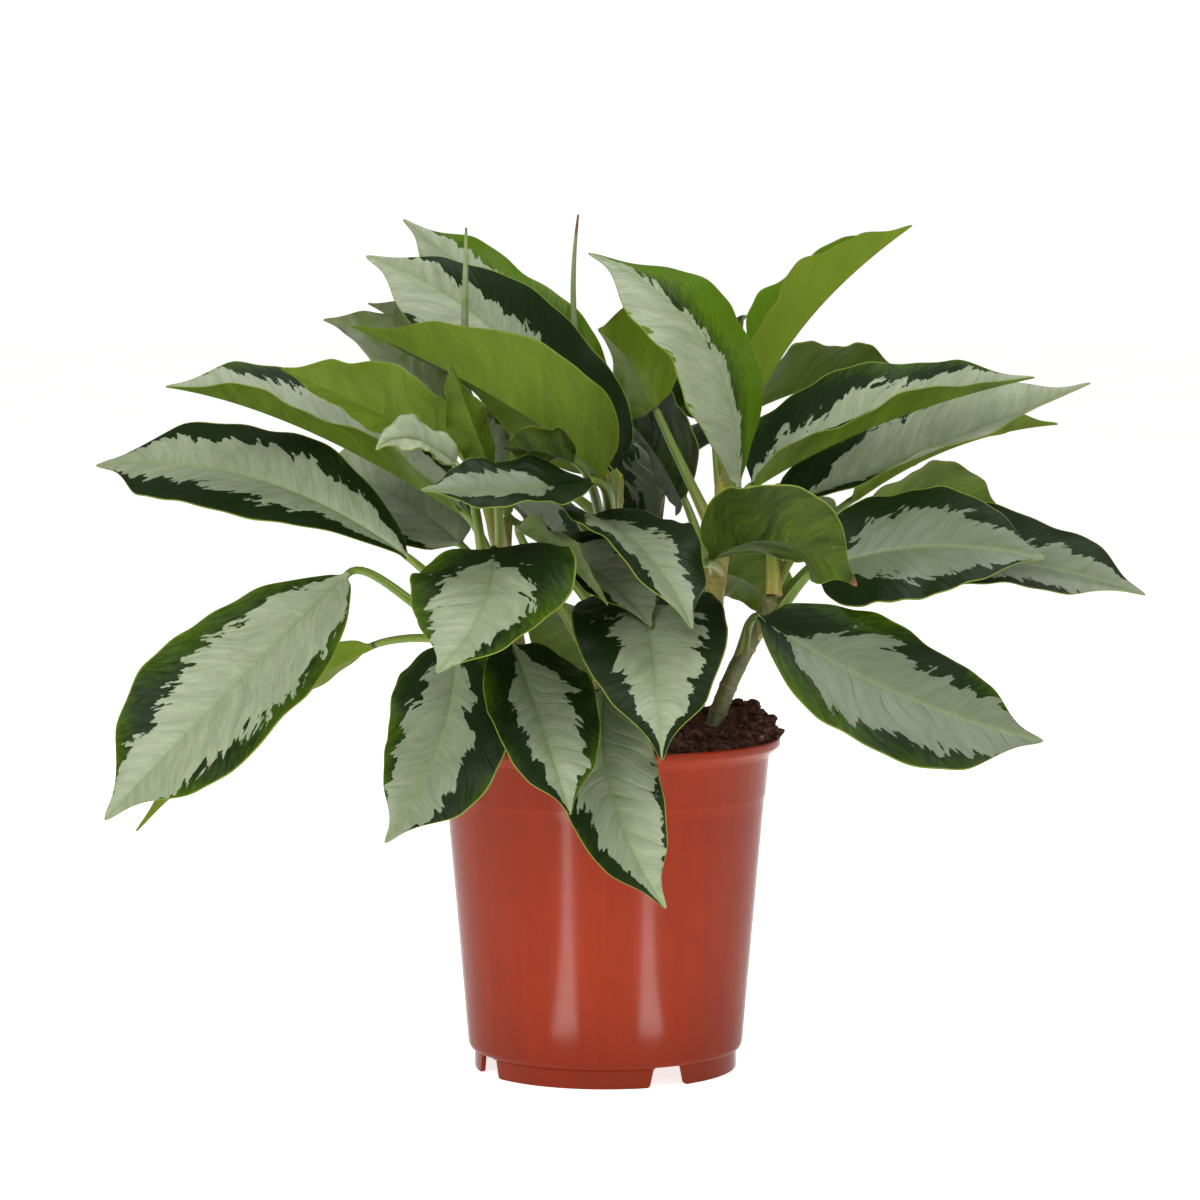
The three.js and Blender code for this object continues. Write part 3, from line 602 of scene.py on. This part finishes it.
def makeLeaf(name, cane, row, turn, materials):
    leaf = {**usualLeaf, **row, "turn": turn, "key": (turn * blade["keyStep"]) % 10}
    for part in ("half", "belly", "silver"):  # one value for both halves, or one for each
        if not isinstance(leaf[part], tuple):
            leaf[part] = (leaf[part], leaf[part])
    start, middle, tip = (Vector(p) for p in leaf["rib"])
    leaf["length"] = (middle - start).length + (tip - middle).length
    n = blade["half"]
    across = [copysign((abs(k) / n) ** blade["crowd"], k) for k in range(n, -n - 1, -1)]
    count = 2 * len(across)
    angles = [2 * pi * (k + 0.5) / count for k in range(count)]
    face = Vector(leaf["face"])

    def frameFor(heading):
        up = (face - heading * face.dot(heading)).normalized()
        return up, up.cross(heading)

    def ribPoint(t):
        return start * ((2 * t - 1) * (t - 1)) + middle * (4 * t * (1 - t)) + tip * (t * (2 * t - 1))

    def ribHeading(t):
        return (start * (4 * t - 3) + middle * (4 - 8 * t) + tip * (4 * t - 1)).normalized()

    def silverAt(v, t):
        more = leaf["lean"] * (t - 0.5) + leaf["tip"] * smoothStep(blade["tipStart"], 1, t)
        more -= leaf["base"] * (1 - smoothStep(0, blade["baseEnd"], t))
        return leaf["silver"][0 if v > 0 else 1] + more

    points, places, veins = [], [], []

    def addPoint(point, place, vein):
        points.append(point)
        places.append((*place, leaf["key"]))
        veins.append(vein)

    root = caneAt(cane, leaf["at"])
    level = (start - root) * Vector((1, 1, 0))
    setOut = (level.normalized() * (1 - leaf["rise"]) + Vector((0, 0, leaf["rise"]))).normalized()
    reach = (start - root).length
    handle = reach * petiole["handle"]
    stalk = (root, root + setOut * handle, start - ribHeading(0) * handle / 2, start)
    for r in range(petiole["rows"]):
        t = r / petiole["rows"]
        point = bezier(*stalk, t)
        up, side = frameFor(bezierHeading(*stalk, t))
        radius = mix(petiole["caneEnd"], petiole["bladeEnd"], t ** petiole["taper"])
        clasp = 1 + petiole["sheath"] * (1 - smoothStep(0, petiole["sheathEnd"], t))
        for angle in angles:
            dip = 1 - petiole["channel"] * max(sin(angle), 0) ** petiole["channelEdge"] * (1 - t * t)
            ringPoint = side * cos(angle) * radius * clasp + up * sin(angle) * radius * dip
            addPoint(point + ringPoint, (0, t - 1), (angle * radius, t * reach, leaf["stalk"]))

    for r in range(blade["rows"] + 1):
        t = r / blade["rows"]
        t = mix(t, (1 - cos(pi * t)) / 2, blade["endCrowd"])
        up, side = frameFor(ribHeading(t))
        point = ribPoint(t)
        for k, angle in enumerate(angles):
            v = across[k] if k < len(across) else across[count - 1 - k]
            onTube = side * cos(angle) + up * sin(angle)
            if leaf["rolled"]:
                radius = leaf["half"][0] * (1 - t) ** blade["rollTaper"] + blade["tipWidth"]
                fromSeam = angle - blade["seamTurn"] - blade["seamTwist"] * t
                seam = blade["seamDepth"] * exp(-(fromSeam / blade["seamWidth"]) ** 2)
                laid = point + onTube * radius * (1 - seam)
                addPoint(laid, (v, t), (angle * radius, t * leaf["length"], leaf["fresh"]))
                continue
            surface = 1 if k < len(across) else -1
            laid, vein = bladePoint(leaf, t, v, surface, (point, up, side))
            tube = point + onTube * petiole["bladeEnd"]
            addPoint(tube.lerp(laid, smoothStep(0, blade["opens"], t)), (v, t), vein)

    rings = petiole["rows"] + blade["rows"] + 1
    upper, under, stalkSkin = 0, 1, 2
    ring = [under if len(across) <= k < count - 1 or leaf["rolled"] else upper for k in range(count)]
    kinds = [stalkSkin] * (petiole["rows"] * count) + ring * blade["rows"] + [stalkSkin, under]
    marks = {
        "bladePlace": places,
        "bladeVein": veins,
        "bladeOwn": [(silverAt(*place[:2]), leaf["brown"], leaf["pale"]) for place in places],
    }
    piece = makePiece(name, points, skinFaces(rings, count), materials, marks, kinds)
    return settle(piece, "leaf", f"leaf_{name}")


for cane in canes.values():
    cane["points"] = [Vector(p) for p in cane["line"]]

leafMaterials = (leafUpperMaterial(), leafUnderMaterial(), petioleMaterial())
waveTurn = 0
for caneName, rows in leaves.items():
    for index, row in enumerate(rows):
        waveTurn += blade["nextWave"]
        makeLeaf(f"{caneName}_{index + 1}", canes[caneName], row, waveTurn, leafMaterials)
print("leaves made:", sum(len(rows) for rows in leaves.values()))


# Canes: green, pale at the foot, and ringed by the corky scars of fallen leaves.

caneLook = dict(
    sides=28,
    rows=90,
    scarGap=13,  # mm between leaf scars, give or take
    scarStray=4,
    strayLong=19,
    scarHeight=0.6,
    scarWidth=0.9,
    roundTop=5,  # mm
    bulge=0.05,  # unevenness of the stem, as a share of its radius
    bulgeLong=25,
    bulgeRate=1.4,
    skin="#928734",
    skinShade="#77753A",
    scar="#6A5A38",
    base="#A3935F",
    shadeGrown="#2E3614",
    fibres=(700, 700, 90),  # per metre across the stem and along it
    paleHeights=(225, 185),  # mm, the stem turns pale from the upper to the lower one
)

# how far single canes are dark green, as those grown in the shade are
caneShade = {"right": 0.95, "middle": 0, "left": 0.5}
usualShade = 0.3


def caneMaterial():
    # Green stem skin with corky rings: even and slightly glossy between them, rough on them.
    look = caneLook
    material, surface, add = newMaterial("ringed green cane", Roughness=0.5, IOR=1.45)
    scar, height, shaded = readMark(add, "caneMark")
    stretched = add("Mapping", {"Vector": add("TexCoord").outputs["Object"], "Scale": look["fibres"]})
    fibres = add("TexNoise", {"Vector": stretched, "Scale": 1, "Detail": 4})
    patches = add("MapRange", {"Value": fibres, "To Min": 0.6, "To Max": 1.2})
    shade = add("Math", {0: shaded, 1: patches}, operation="MULTIPLY")
    cork = add("Math", {0: scar, 1: fibres}, operation="MULTIPLY")
    setInputs(surface, {
        "Base Color": coats(
            add, look, "skin",
            ("skinShade", fibres, 0.35, 0.7),
            ("base", height, *look["paleHeights"], 0.7),
            ("shadeGrown", shade, 0, 1),
            ("scar", cork, 0.15, 0.5)),
        "Normal": add("Bump", {"Strength": 0.5, "Distance": 0.4 * mm, "Height": fibres})})
    return material


def makeCane(name, cane, material):
    look = caneLook
    points, marks = [], []
    length = sum((b - a).length for a, b in zip(cane["points"], cane["points"][1:]))
    for r in range(look["rows"] + 1):
        t = r / look["rows"]
        point = smoothLine(cane["points"], t)
        near, far = (smoothLine(cane["points"], u) for u in (max(t - 0.01, 0), min(t + 0.01, 1)))
        heading = (far - near).normalized()
        up = heading.cross(Vector((1, 0, 0))).normalized()
        side = up.cross(heading)
        run = t * length
        strayed = run + look["scarStray"] * sin(run / look["strayLong"])
        fromScar = strayed % look["scarGap"] - look["scarGap"] / 2
        scar = exp(-(fromScar / look["scarWidth"]) ** 2)
        left = (1 - t) * length / look["roundTop"]
        dome = sqrt(max(1 - (1 - min(left, 1)) ** 2, 0.02))
        radius = (mix(cane["start"], cane["end"], t) + look["scarHeight"] * scar) * dome
        for k in range(look["sides"]):
            angle = 2 * pi * k / look["sides"]
            place = Vector((cos(angle), sin(angle), run / look["bulgeLong"]))
            bulge = 1 + look["bulge"] * noise.noise(place * look["bulgeRate"])
            ringPoint = (side * cos(angle) + up * sin(angle)) * radius * bulge
            points.append(point + ringPoint)
            marks.append((scar, point.z, caneShade.get(name, usualShade)))
    faces = skinFaces(look["rows"] + 1, look["sides"])
    label = "cane" + name.title().replace("_", "")
    piece = makePiece(label, points, faces, [material], {"caneMark": marks})
    return settle(piece, "cane", f"cane_{name}")


caneSkin = caneMaterial()
for caneName, cane in canes.items():
    makeCane(caneName, cane, caneSkin)
print("canes made:", len(canes))


# Pot: injection moulded, thin and a little uneven, on a notched foot ring.

pot = dict(
    sides=180,
    height=182.6,
    rimRadius=96,
    rimRound=0.8,
    flareHeight=173.2,
    flareRise=4.9,
    flareFloor=1,
    flareRound=1.2,
    neckRadius=90.7,
    stepHeight=151,
    stepIn=0.5,
    stepSlope=1,
    waistRadius=75.6,
    cornerRadius=6,
    cornerTurn=66,
    innerCorner=4,
    wall=1.8,
    footRadius=72,
    footHeight=9.3,
    footWall=2.6,
    footEdge=0.5,
    floorHeight=12.4,
    floor=2.4,
    notches=4,
    notchTurn=27.8,
    notchTop=16.5,
    notchBottom=20.5,
    notchHeight=11.2,
    notchFlare=2.5,
    notchRound=0.5,
    drainRadius=6,
    drainPlace=54,  # from the axis
    drainFrom=8.4,  # the cut for a drain hole starts here, below the floor
    seamTurn=-0.6,  # degrees from the front to the mould's parting line
    seamHigh=0.12,
    seamWide=0.35,
    colour="#782205",
    colourShade="#6B1E07",
    flow=7,  # mm between the faint upright flow marks
    flowRate=6,  # per metre of their length
    dustRate=60,  # per metre
    peel=1.1,  # mm, unevenness of the gloss
)


def potMaterial():
    # Terracotta-coloured polypropylene, IOR 1.49, from a polished mould: satin gloss with flow marks.
    material, surface, add = newMaterial("moulded polypropylene", Roughness=0.2, IOR=1.49)
    facing = add("LayerWeight", {"Blend": 0.5}).outputs["Facing"]
    place = add("TexCoord").outputs["Object"]
    across = 1 / (pot["flow"] * mm)
    upright = add("Mapping", {"Vector": place, "Scale": (across, across, pot["flowRate"])})
    flow = add("TexNoise", {"Vector": upright, "Scale": 1, "Detail": 3})
    dust = add("TexNoise", {"Vector": place, "Scale": pot["dustRate"], "Detail": 6, "Roughness": 0.65})
    peel = add("TexNoise", {"Vector": place, "Scale": 1 / (pot["peel"] * mm), "Detail": 2})
    tone = add("Math", {0: flow, 1: dust}, operation="MULTIPLY")
    height = add("Math", {0: flow, 1: 2, 2: peel}, operation="MULTIPLY_ADD")
    setInputs(surface, {
        "Base Color": coats(add, pot, "colour", ("colourShade", tone, 0.1, 0.5)),
        "Specular IOR Level": add("MapRange", {
            "Value": facing, "From Min": 0.3, "From Max": 0.8, "To Min": 0.15, "To Max": 0.03}),
        "Roughness": add("MapRange", {
            "Value": dust, "From Min": 0.3, "From Max": 0.7, "To Min": 0.14, "To Max": 0.22}),
        "Normal": add("Bump", {"Strength": 0.25, "Distance": 0.05 * mm, "Height": height})})
    return material


def bodyRadius(z):
    low = pot["footHeight"] + pot["cornerRadius"]
    up = (z - low) / (pot["height"] - low)
    straight = mix(pot["waistRadius"] + pot["stepIn"], pot["neckRadius"], up)
    return straight - pot["stepIn"] if z < pot["stepHeight"] else straight


def arc(x, y, radius, *turns):
    return [(x + radius * cos(radians(a)), y + radius * sin(radians(a))) for a in turns]


def potInside(clear=0):  # the inner wall from the floor's edge into the flared rim
    floor, corner = pot["floorHeight"] + pot["floor"] + clear, pot["innerCorner"]
    low, flare = floor - clear + corner, pot["flareHeight"] + pot["flareFloor"] + clear
    heights = (low, pot["stepHeight"] - corner, pot["stepHeight"])
    walls = [(bodyRadius(z) - pot["wall"] - clear, z) for z in heights]
    upper = bodyRadius(pot["flareHeight"]) - pot["wall"] - clear
    bend = arc(walls[0][0] - corner, floor + corner, corner, -90, -60, -30)
    rim = pot["rimRadius"] - pot["wall"] - clear
    return bend + walls + [(upper, flare), (rim, flare + pot["flareRise"])]


def potSection():  # from the underside of the floor, up the outside, and down the inside
    foot, step, rim, turn = pot["footHeight"], pot["stepHeight"], pot["rimRadius"], pot["cornerTurn"]
    corner, edge, lip, bend = pot["cornerRadius"], pot["footEdge"], pot["rimRound"], pot["flareRound"]
    footIn, top = pot["footRadius"] - pot["footWall"], pot["height"]
    low, flare = pot["flareHeight"], pot["flareHeight"] + pot["flareRise"]
    line = [(0, pot["floorHeight"]), (footIn, pot["floorHeight"])]
    line += arc(footIn + edge, edge, edge, 180, 225, 270)
    line += arc(pot["footRadius"] - edge, edge, edge, 270, 315, 360)
    line += arc(bodyRadius(foot + corner) - corner, foot + corner, corner, *range(-turn, 1, 11))
    line += [(bodyRadius(z), z) for z in (step - 6, step - pot["stepSlope"] - 0.3)]
    line += [(bodyRadius(step) - 0.1, step - 0.2), (bodyRadius(step + 1), step + 1)]
    line += [(bodyRadius(low - bend), low - bend), (bodyRadius(low) + bend / 2, low + bend / 3)]
    line += [(rim - bend, flare - 0.7 * bend), (rim - 0.3, flare), (rim, flare + 0.5)]
    line += arc(rim - lip, top - lip, lip, 0, 30, 60, 90)
    line += arc(rim - pot["wall"] + 0.4, top - 0.4, 0.4, 90, 135, 180)
    return line + potInside()[::-1] + [(0, pot["floorHeight"] + pot["floor"])]


def notchSide(sign):  # half a notch, from its top to the ring's rounded corner
    wide, flare = pot["notchBottom"] / 2 + pot["notchFlare"], pot["notchFlare"]
    line = [(pot["notchTop"] / 2, pot["notchHeight"]), *arc(wide, flare, flare, *range(180, 271, 15))]
    return [(sign * x, y) for x, y in line + [(wide, -flare)]]


def cutter(name, section, depth, turn, place):  # a prism along the radius, or upright for a drain hole
    points = [place(x, y, z, turn) for z in (0, depth) for x, y in section]
    return makePiece(name, points, skinFaces(2, len(section)), [])


def turned(x, y, z, turn):
    return Vector((x * cos(turn) - y * sin(turn), x * sin(turn) + y * cos(turn), z))


def makePot(material):
    section = potSection()
    front = -90 + pot["seamTurn"]
    seam = degrees(pot["seamWide"] / pot["waistRadius"])
    angles = [360 * k / pot["sides"] for k in range(pot["sides"])]
    angles = [a for a in angles if abs(a - 360 - front) > 3 * seam]
    angles = sorted(angles + [front + 360 + seam * k / 2 for k in (-4, -2, -1, 0, 1, 2, 4)])
    points, faces = [], []
    middle = len(section) - 2
    for angle in angles:
        onSeam = exp(-((angle - 360 - front) / seam) ** 2)
        for x, z in section[1:-1]:
            outside = 1 < z < pot["flareHeight"] and x > max(pot["footRadius"] - 0.1, bodyRadius(z) - 4)
            ridge = pot["seamHigh"] * onSeam if outside else 0
            points.append(turned(x + ridge, 0, z, radians(angle)))
    lower, upper = len(points), len(points) + 1
    points += [Vector((0, 0, section[0][1])), Vector((0, 0, section[-1][1]))]
    for s in range(len(angles)):
        a, b = s * middle, (s + 1) % len(angles) * middle
        faces += [(a + k, b + k, b + k + 1, a + k + 1) for k in range(middle - 1)]
        faces += [(lower, b, a), (upper, a + middle - 1, b + middle - 1)]
    piece = makePiece("nurseryPot", points, faces, [material])
    cutters = []
    notch = notchSide(1)[::-1] + notchSide(-1)
    drain = arc(0, 0, pot["drainRadius"], *(360 * k / 32 for k in range(32)))
    inward = pot["footRadius"] - 2 * pot["footWall"]
    for k in range(pot["notches"]):
        turn = radians(pot["notchTurn"] + 90 * k - 90)
        cutters += [
            cutter(f"notch{k}", notch, 3 * pot["footWall"], turn,
                   lambda x, y, z, a: turned(inward + z, x, y, a)),
            cutter(f"drain{k}", drain, 4 * pot["floor"], turn,
                   lambda x, y, z, a: turned(pot["drainPlace"] + x, y, pot["drainFrom"] + z, a))]
    for tool in cutters:
        cut = piece.modifiers.new(tool.name, "BOOLEAN")
        cut.operation, cut.solver, cut.object = "DIFFERENCE", "EXACT", tool
    rounding = piece.modifiers.new("notchRounding", "BEVEL")
    rounding.width, rounding.segments = pot["notchRound"] * mm, 2
    rounding.limit_method, rounding.angle_limit = "ANGLE", radians(55)
    depsgraph = bpy.context.evaluated_depsgraph_get()
    finished = bpy.data.meshes.new_from_object(piece.evaluated_get(depsgraph))
    piece.modifiers.clear()
    piece.data = finished
    finished.shade_smooth()
    finished.set_sharp_from_angle(angle=radians(40))
    for tool in cutters:
        bpy.data.objects.remove(tool, do_unlink=True)
    return settle(piece, "pot", "pot")


makePot(potMaterial())
print("pot made")


# Soil: moist peat heaped towards the right-hand cane, with loose crumbs on it.

soil = dict(
    rings=64,
    sides=220,
    gap=0.3,
    middle=3,  # radius of the flats on the axis
    edgeLevel=180.4,
    mound=7,
    heap=17,
    heapAt=(74, -6),
    heapReach=32,
    heapEdge=20,  # the higher, the steeper the heap falls off at the rim
    crumb=1.8,
    lumps=(30, 33, 15),
    clods=1.6,  # mm, height of the clods that the eye sees
    clodSize=7,
    clodNoise=(0.8, 2.1, 4),  # how smooth, how much finer each octave is, and how many
    crumbs=1500,
    crumbReach=91,  # from the axis
    crumbSizes=(0.5, 2.6),  # mm, radius
    crumbRough=(0.5, 1.7),  # how much and how often a crumb's radius changes
    crumbSunk=0.35,  # its middle lies this share of its radius above the ground
    heapCrumbs=150,  # of them lie about on the heap and over the rim beside it
    heapPlaces=((84, 9), (-8, 16)),  # x and y, and how far the crumbs scatter
    heapSizes=(1.2, 4.2),
    dark="#2C1914",
    brown="#5E3A30",
    fibre="#7C5546",
    poreRate=420,  # per metre, so one pore on 2.4 mm
    patchRate=45,
)


def soilMaterial():
    # Damp peat: almost black in its pores, red-brown where a crumb has dried, no gloss at all.
    material, surface, add = newMaterial(
        "damp crumbly peat", Roughness=0.95, IOR=1.4, Specular_IOR_Level=0.25)
    place = add("TexCoord").outputs["Object"]
    crumbs = add("TexNoise", {"Vector": place, "Scale": soil["poreRate"], "Detail": 6, "Roughness": 0.7})
    patches = add("TexNoise", {"Vector": place, "Scale": soil["patchRate"], "Detail": 3})
    dry = add("Math", {0: crumbs, 1: patches}, operation="MULTIPLY")
    setInputs(surface, {
        "Base Color": coats(add, soil, "dark", ("brown", crumbs, 0.4, 0.68), ("fibre", dry, 0.33, 0.42)),
        "Normal": add("Bump", {"Strength": 0.9, "Distance": 0.8 * mm, "Height": crumbs})})
    return material


def soilLevel(x, y):
    lumpX, lumpY, small = (2 * pi / length for length in soil["lumps"])
    spread = hypot(x, y) / (pot["rimRadius"] - pot["wall"] - soil["gap"])
    away = hypot(x - soil["heapAt"][0], y - soil["heapAt"][1]) / soil["heapReach"]
    lumps = sin(lumpX * x + 1) * sin(lumpY * y) + sin(small * (x + y)) / 2
    loose = soil["heap"] * exp(-away ** 2) + soil["crumb"] * lumps
    level = soil["edgeLevel"] + soil["mound"] * (1 - spread ** 2)
    return level + loose * (1 - spread ** soil["heapEdge"])


def clodLevel(x, y):
    place = Vector((x, y, 0)) / soil["clodSize"]
    return soilLevel(x, y) + soil["clods"] * noise.fractal(place, *soil["clodNoise"])


def makeSoil(material):
    def around(radius, level=None):
        turns = (2 * pi * k / soil["sides"] for k in range(soil["sides"]))
        flat = ((radius * cos(a), radius * sin(a)) for a in turns)
        return [Vector((x, y, clodLevel(x, y) if level is None else level)) for x, y in flat]

    walls = potInside(soil["gap"])
    walls.insert(0, (soil["middle"], walls[0][1]))
    edge = pot["rimRadius"] - pot["wall"] - soil["gap"]
    rings = [around(radius, level) for radius, level in walls]
    rings += [around(edge * k / soil["rings"]) for k in range(soil["rings"], 0, -1)]
    points = [p for ring in rings for p in ring]
    piece = makePiece("peatBed", points, skinFaces(len(rings), soil["sides"]), [material], sharp=180)
    return settle(piece, "soil", "soil")


def makeCrumbs(material):
    rng = random.Random(7)
    shape = bmesh.new()
    bmesh.ops.create_icosphere(shape, subdivisions=2, radius=1)
    unit = [v.co.copy() for v in shape.verts]
    triangles = [tuple(v.index for v in f.verts) for f in shape.faces]
    shape.free()
    stems = [(caneAt(cane, soil["edgeLevel"]), cane["start"]) for cane in canes.values()]
    points, faces = [], []
    rough, rate = soil["crumbRough"]
    made = 0
    while made < soil["crumbs"]:
        reach, turn = soil["crumbReach"] * sqrt(rng.random()), rng.uniform(0, 2 * pi)
        x, y = reach * cos(turn), reach * sin(turn)
        size = mix(*soil["crumbSizes"], rng.random() ** 3)
        if made < soil["heapCrumbs"]:
            x, y = (rng.gauss(*place) for place in soil["heapPlaces"])
            size = mix(*soil["heapSizes"], rng.random() ** 2)
            if hypot(x, y) > pot["rimRadius"]:
                continue
        if any(hypot(x - p.x, y - p.y) < r + size for p, r in stems):
            continue
        made += 1
        onRim = hypot(x, y) > pot["rimRadius"] - pot["wall"] - size
        ground = max(clodLevel(x, y), pot["height"]) + 0.3 * size if onRim else clodLevel(x, y)
        centre = Vector((x, y, ground + soil["crumbSunk"] * size))
        shift = Vector((rng.uniform(-50, 50), rng.uniform(-50, 50), rng.uniform(-50, 50)))
        flat = Vector((1, rng.uniform(0.6, 1), rng.uniform(0.5, 0.9)))
        first = len(points)
        for corner in unit:
            lump = size * (1 + rough * noise.noise(corner * rate + shift))
            points.append(centre + corner * flat * lump)
        faces += [tuple(first + k for k in triangle) for triangle in triangles]
    piece = makePiece("peatCrumbs", points, faces, [material], sharp=180)
    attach(piece, "root")
    return piece


peat = soilMaterial()
makeSoil(peat)
makeCrumbs(peat)
print("soil made")


# Studio: a glowing pale floor, even pale surroundings, four soft lights, and two narrow ones on the floor.

studio = dict(
    floor="#F4F3F1",
    floorCloud="#E6E5E1",
    clouds=1.5,  # per metre
    floorGlow=0.87,  # the floor is lit from within, as a light table is
    around="#FAFAFA",
    level=1.08,  # strength of the pale surroundings near the horizon, and above and below it
    overhead=0.28,
    eye=(-3, -2200, 428),
    tilt=85.56,  # degrees from straight down to the way the camera looks
    focal=120.87,  # mm, on a 36 mm wide sensor
    lights=(  # name, place, size in metres and watts
        ("keyLight", (-1.4, -1.5, 1.9), (1.3, 1.3), 42),
        ("topLight", (0.5, 0.1, 2.5), (1.5, 1.5), 34),
        ("fillLight", (1.7, -1.1, 1.3), (1.0, 1.0), 5),
        ("frontLight", (0.2, -2.4, 1.0), (1.4, 0.8), 14),
    ),
    panels=(  # name and degrees from the front of two lights that lie on the floor before the pot
        ("leftPanel", -26),
        ("rightPanel", 29),
    ),
    panelNear=0.15,  # metres from the pot's axis
    panelLong=1.2,
    panelWide=0.045,
    panelWatts=1.9,
    lookAt=(0, 0, 0.22),  # metres, where the lights aim
    floorHalf=30,  # metres
    horizon=(0.075, 0.2),  # heights of the gaze between which the surroundings darken
)


def makeLight(name, place, size, watts):
    lamp = bpy.data.lights.new(name, "AREA")
    lamp.shape, lamp.size, lamp.size_y, lamp.energy = "RECTANGLE", *size, watts
    light = newObject(name, lamp)
    light.location = place
    aim = Vector(studio["lookAt"]) - Vector(place)
    light.rotation_euler = aim.to_track_quat("-Z", "Y").to_euler()
    return light


def makePanel(name, angle):  # the pot mirrors it as an upright streak
    turn = radians(angle)
    away = studio["panelNear"] + studio["panelLong"] / 2
    place = (away * sin(turn), -away * cos(turn), 0.002)
    light = makeLight(name, place, (studio["panelWide"], studio["panelLong"]), studio["panelWatts"])
    light.rotation_euler = (pi, 0, turn)


def makeStudio():
    size = studio["floorHalf"] / mm
    material, surface, add = newMaterial(
        "matt studio floor", Roughness=0.9, Specular_IOR_Level=0, Emission_Strength=studio["floorGlow"])
    cloud = add("TexNoise", {"Vector": add("TexCoord").outputs["Object"], "Scale": studio["clouds"]})
    setInputs(surface, {
        "Base Color": coats(add, studio, "floor", ("floorCloud", cloud, 0, 1)),
        "Emission Color": linearColour(studio["floor"])})
    corners = [Vector((x * size, y * size, -0.05)) for x, y in ((-1, -1), (1, -1), (1, 1), (-1, 1))]
    makePiece("studioFloor", corners, [(0, 1, 2, 3)], [material])
    world = bpy.data.worlds.new("paleStudio")
    world.use_nodes = True
    tree = world.node_tree
    upwards = addNode(tree, "SeparateXYZ", {0: addNode(tree, "TexCoord").outputs["Generated"]}).outputs[2]
    level, dark = studio["horizon"]
    setInputs(tree.nodes["Background"], {
        "Color": linearColour(studio["around"]),
        "Strength": addNode(tree, "MapRange", {
            "Value": addNode(tree, "Math", {0: upwards}, operation="ABSOLUTE"),
            "From Min": level, "From Max": dark, "To Min": studio["level"], "To Max": studio["overhead"],
        }, interpolation_type="SMOOTHSTEP")})
    bpy.context.scene.world = world
    for light in studio["lights"]:
        makeLight(*light)
    for panel in studio["panels"]:
        makePanel(*panel)


def makeCamera():
    camera = bpy.data.cameras.new("photoView")
    camera.sensor_width, camera.lens = 36, studio["focal"]
    camera.clip_end = 100
    eye = newObject("photoView", camera)
    eye.location = Vector(studio["eye"]) * mm
    eye.rotation_euler = (radians(studio["tilt"]), 0, 0)
    bpy.context.scene.camera = eye


makeStudio()
makeCamera()
bpy.context.scene.view_settings.view_transform = "Standard"
print("studio made")
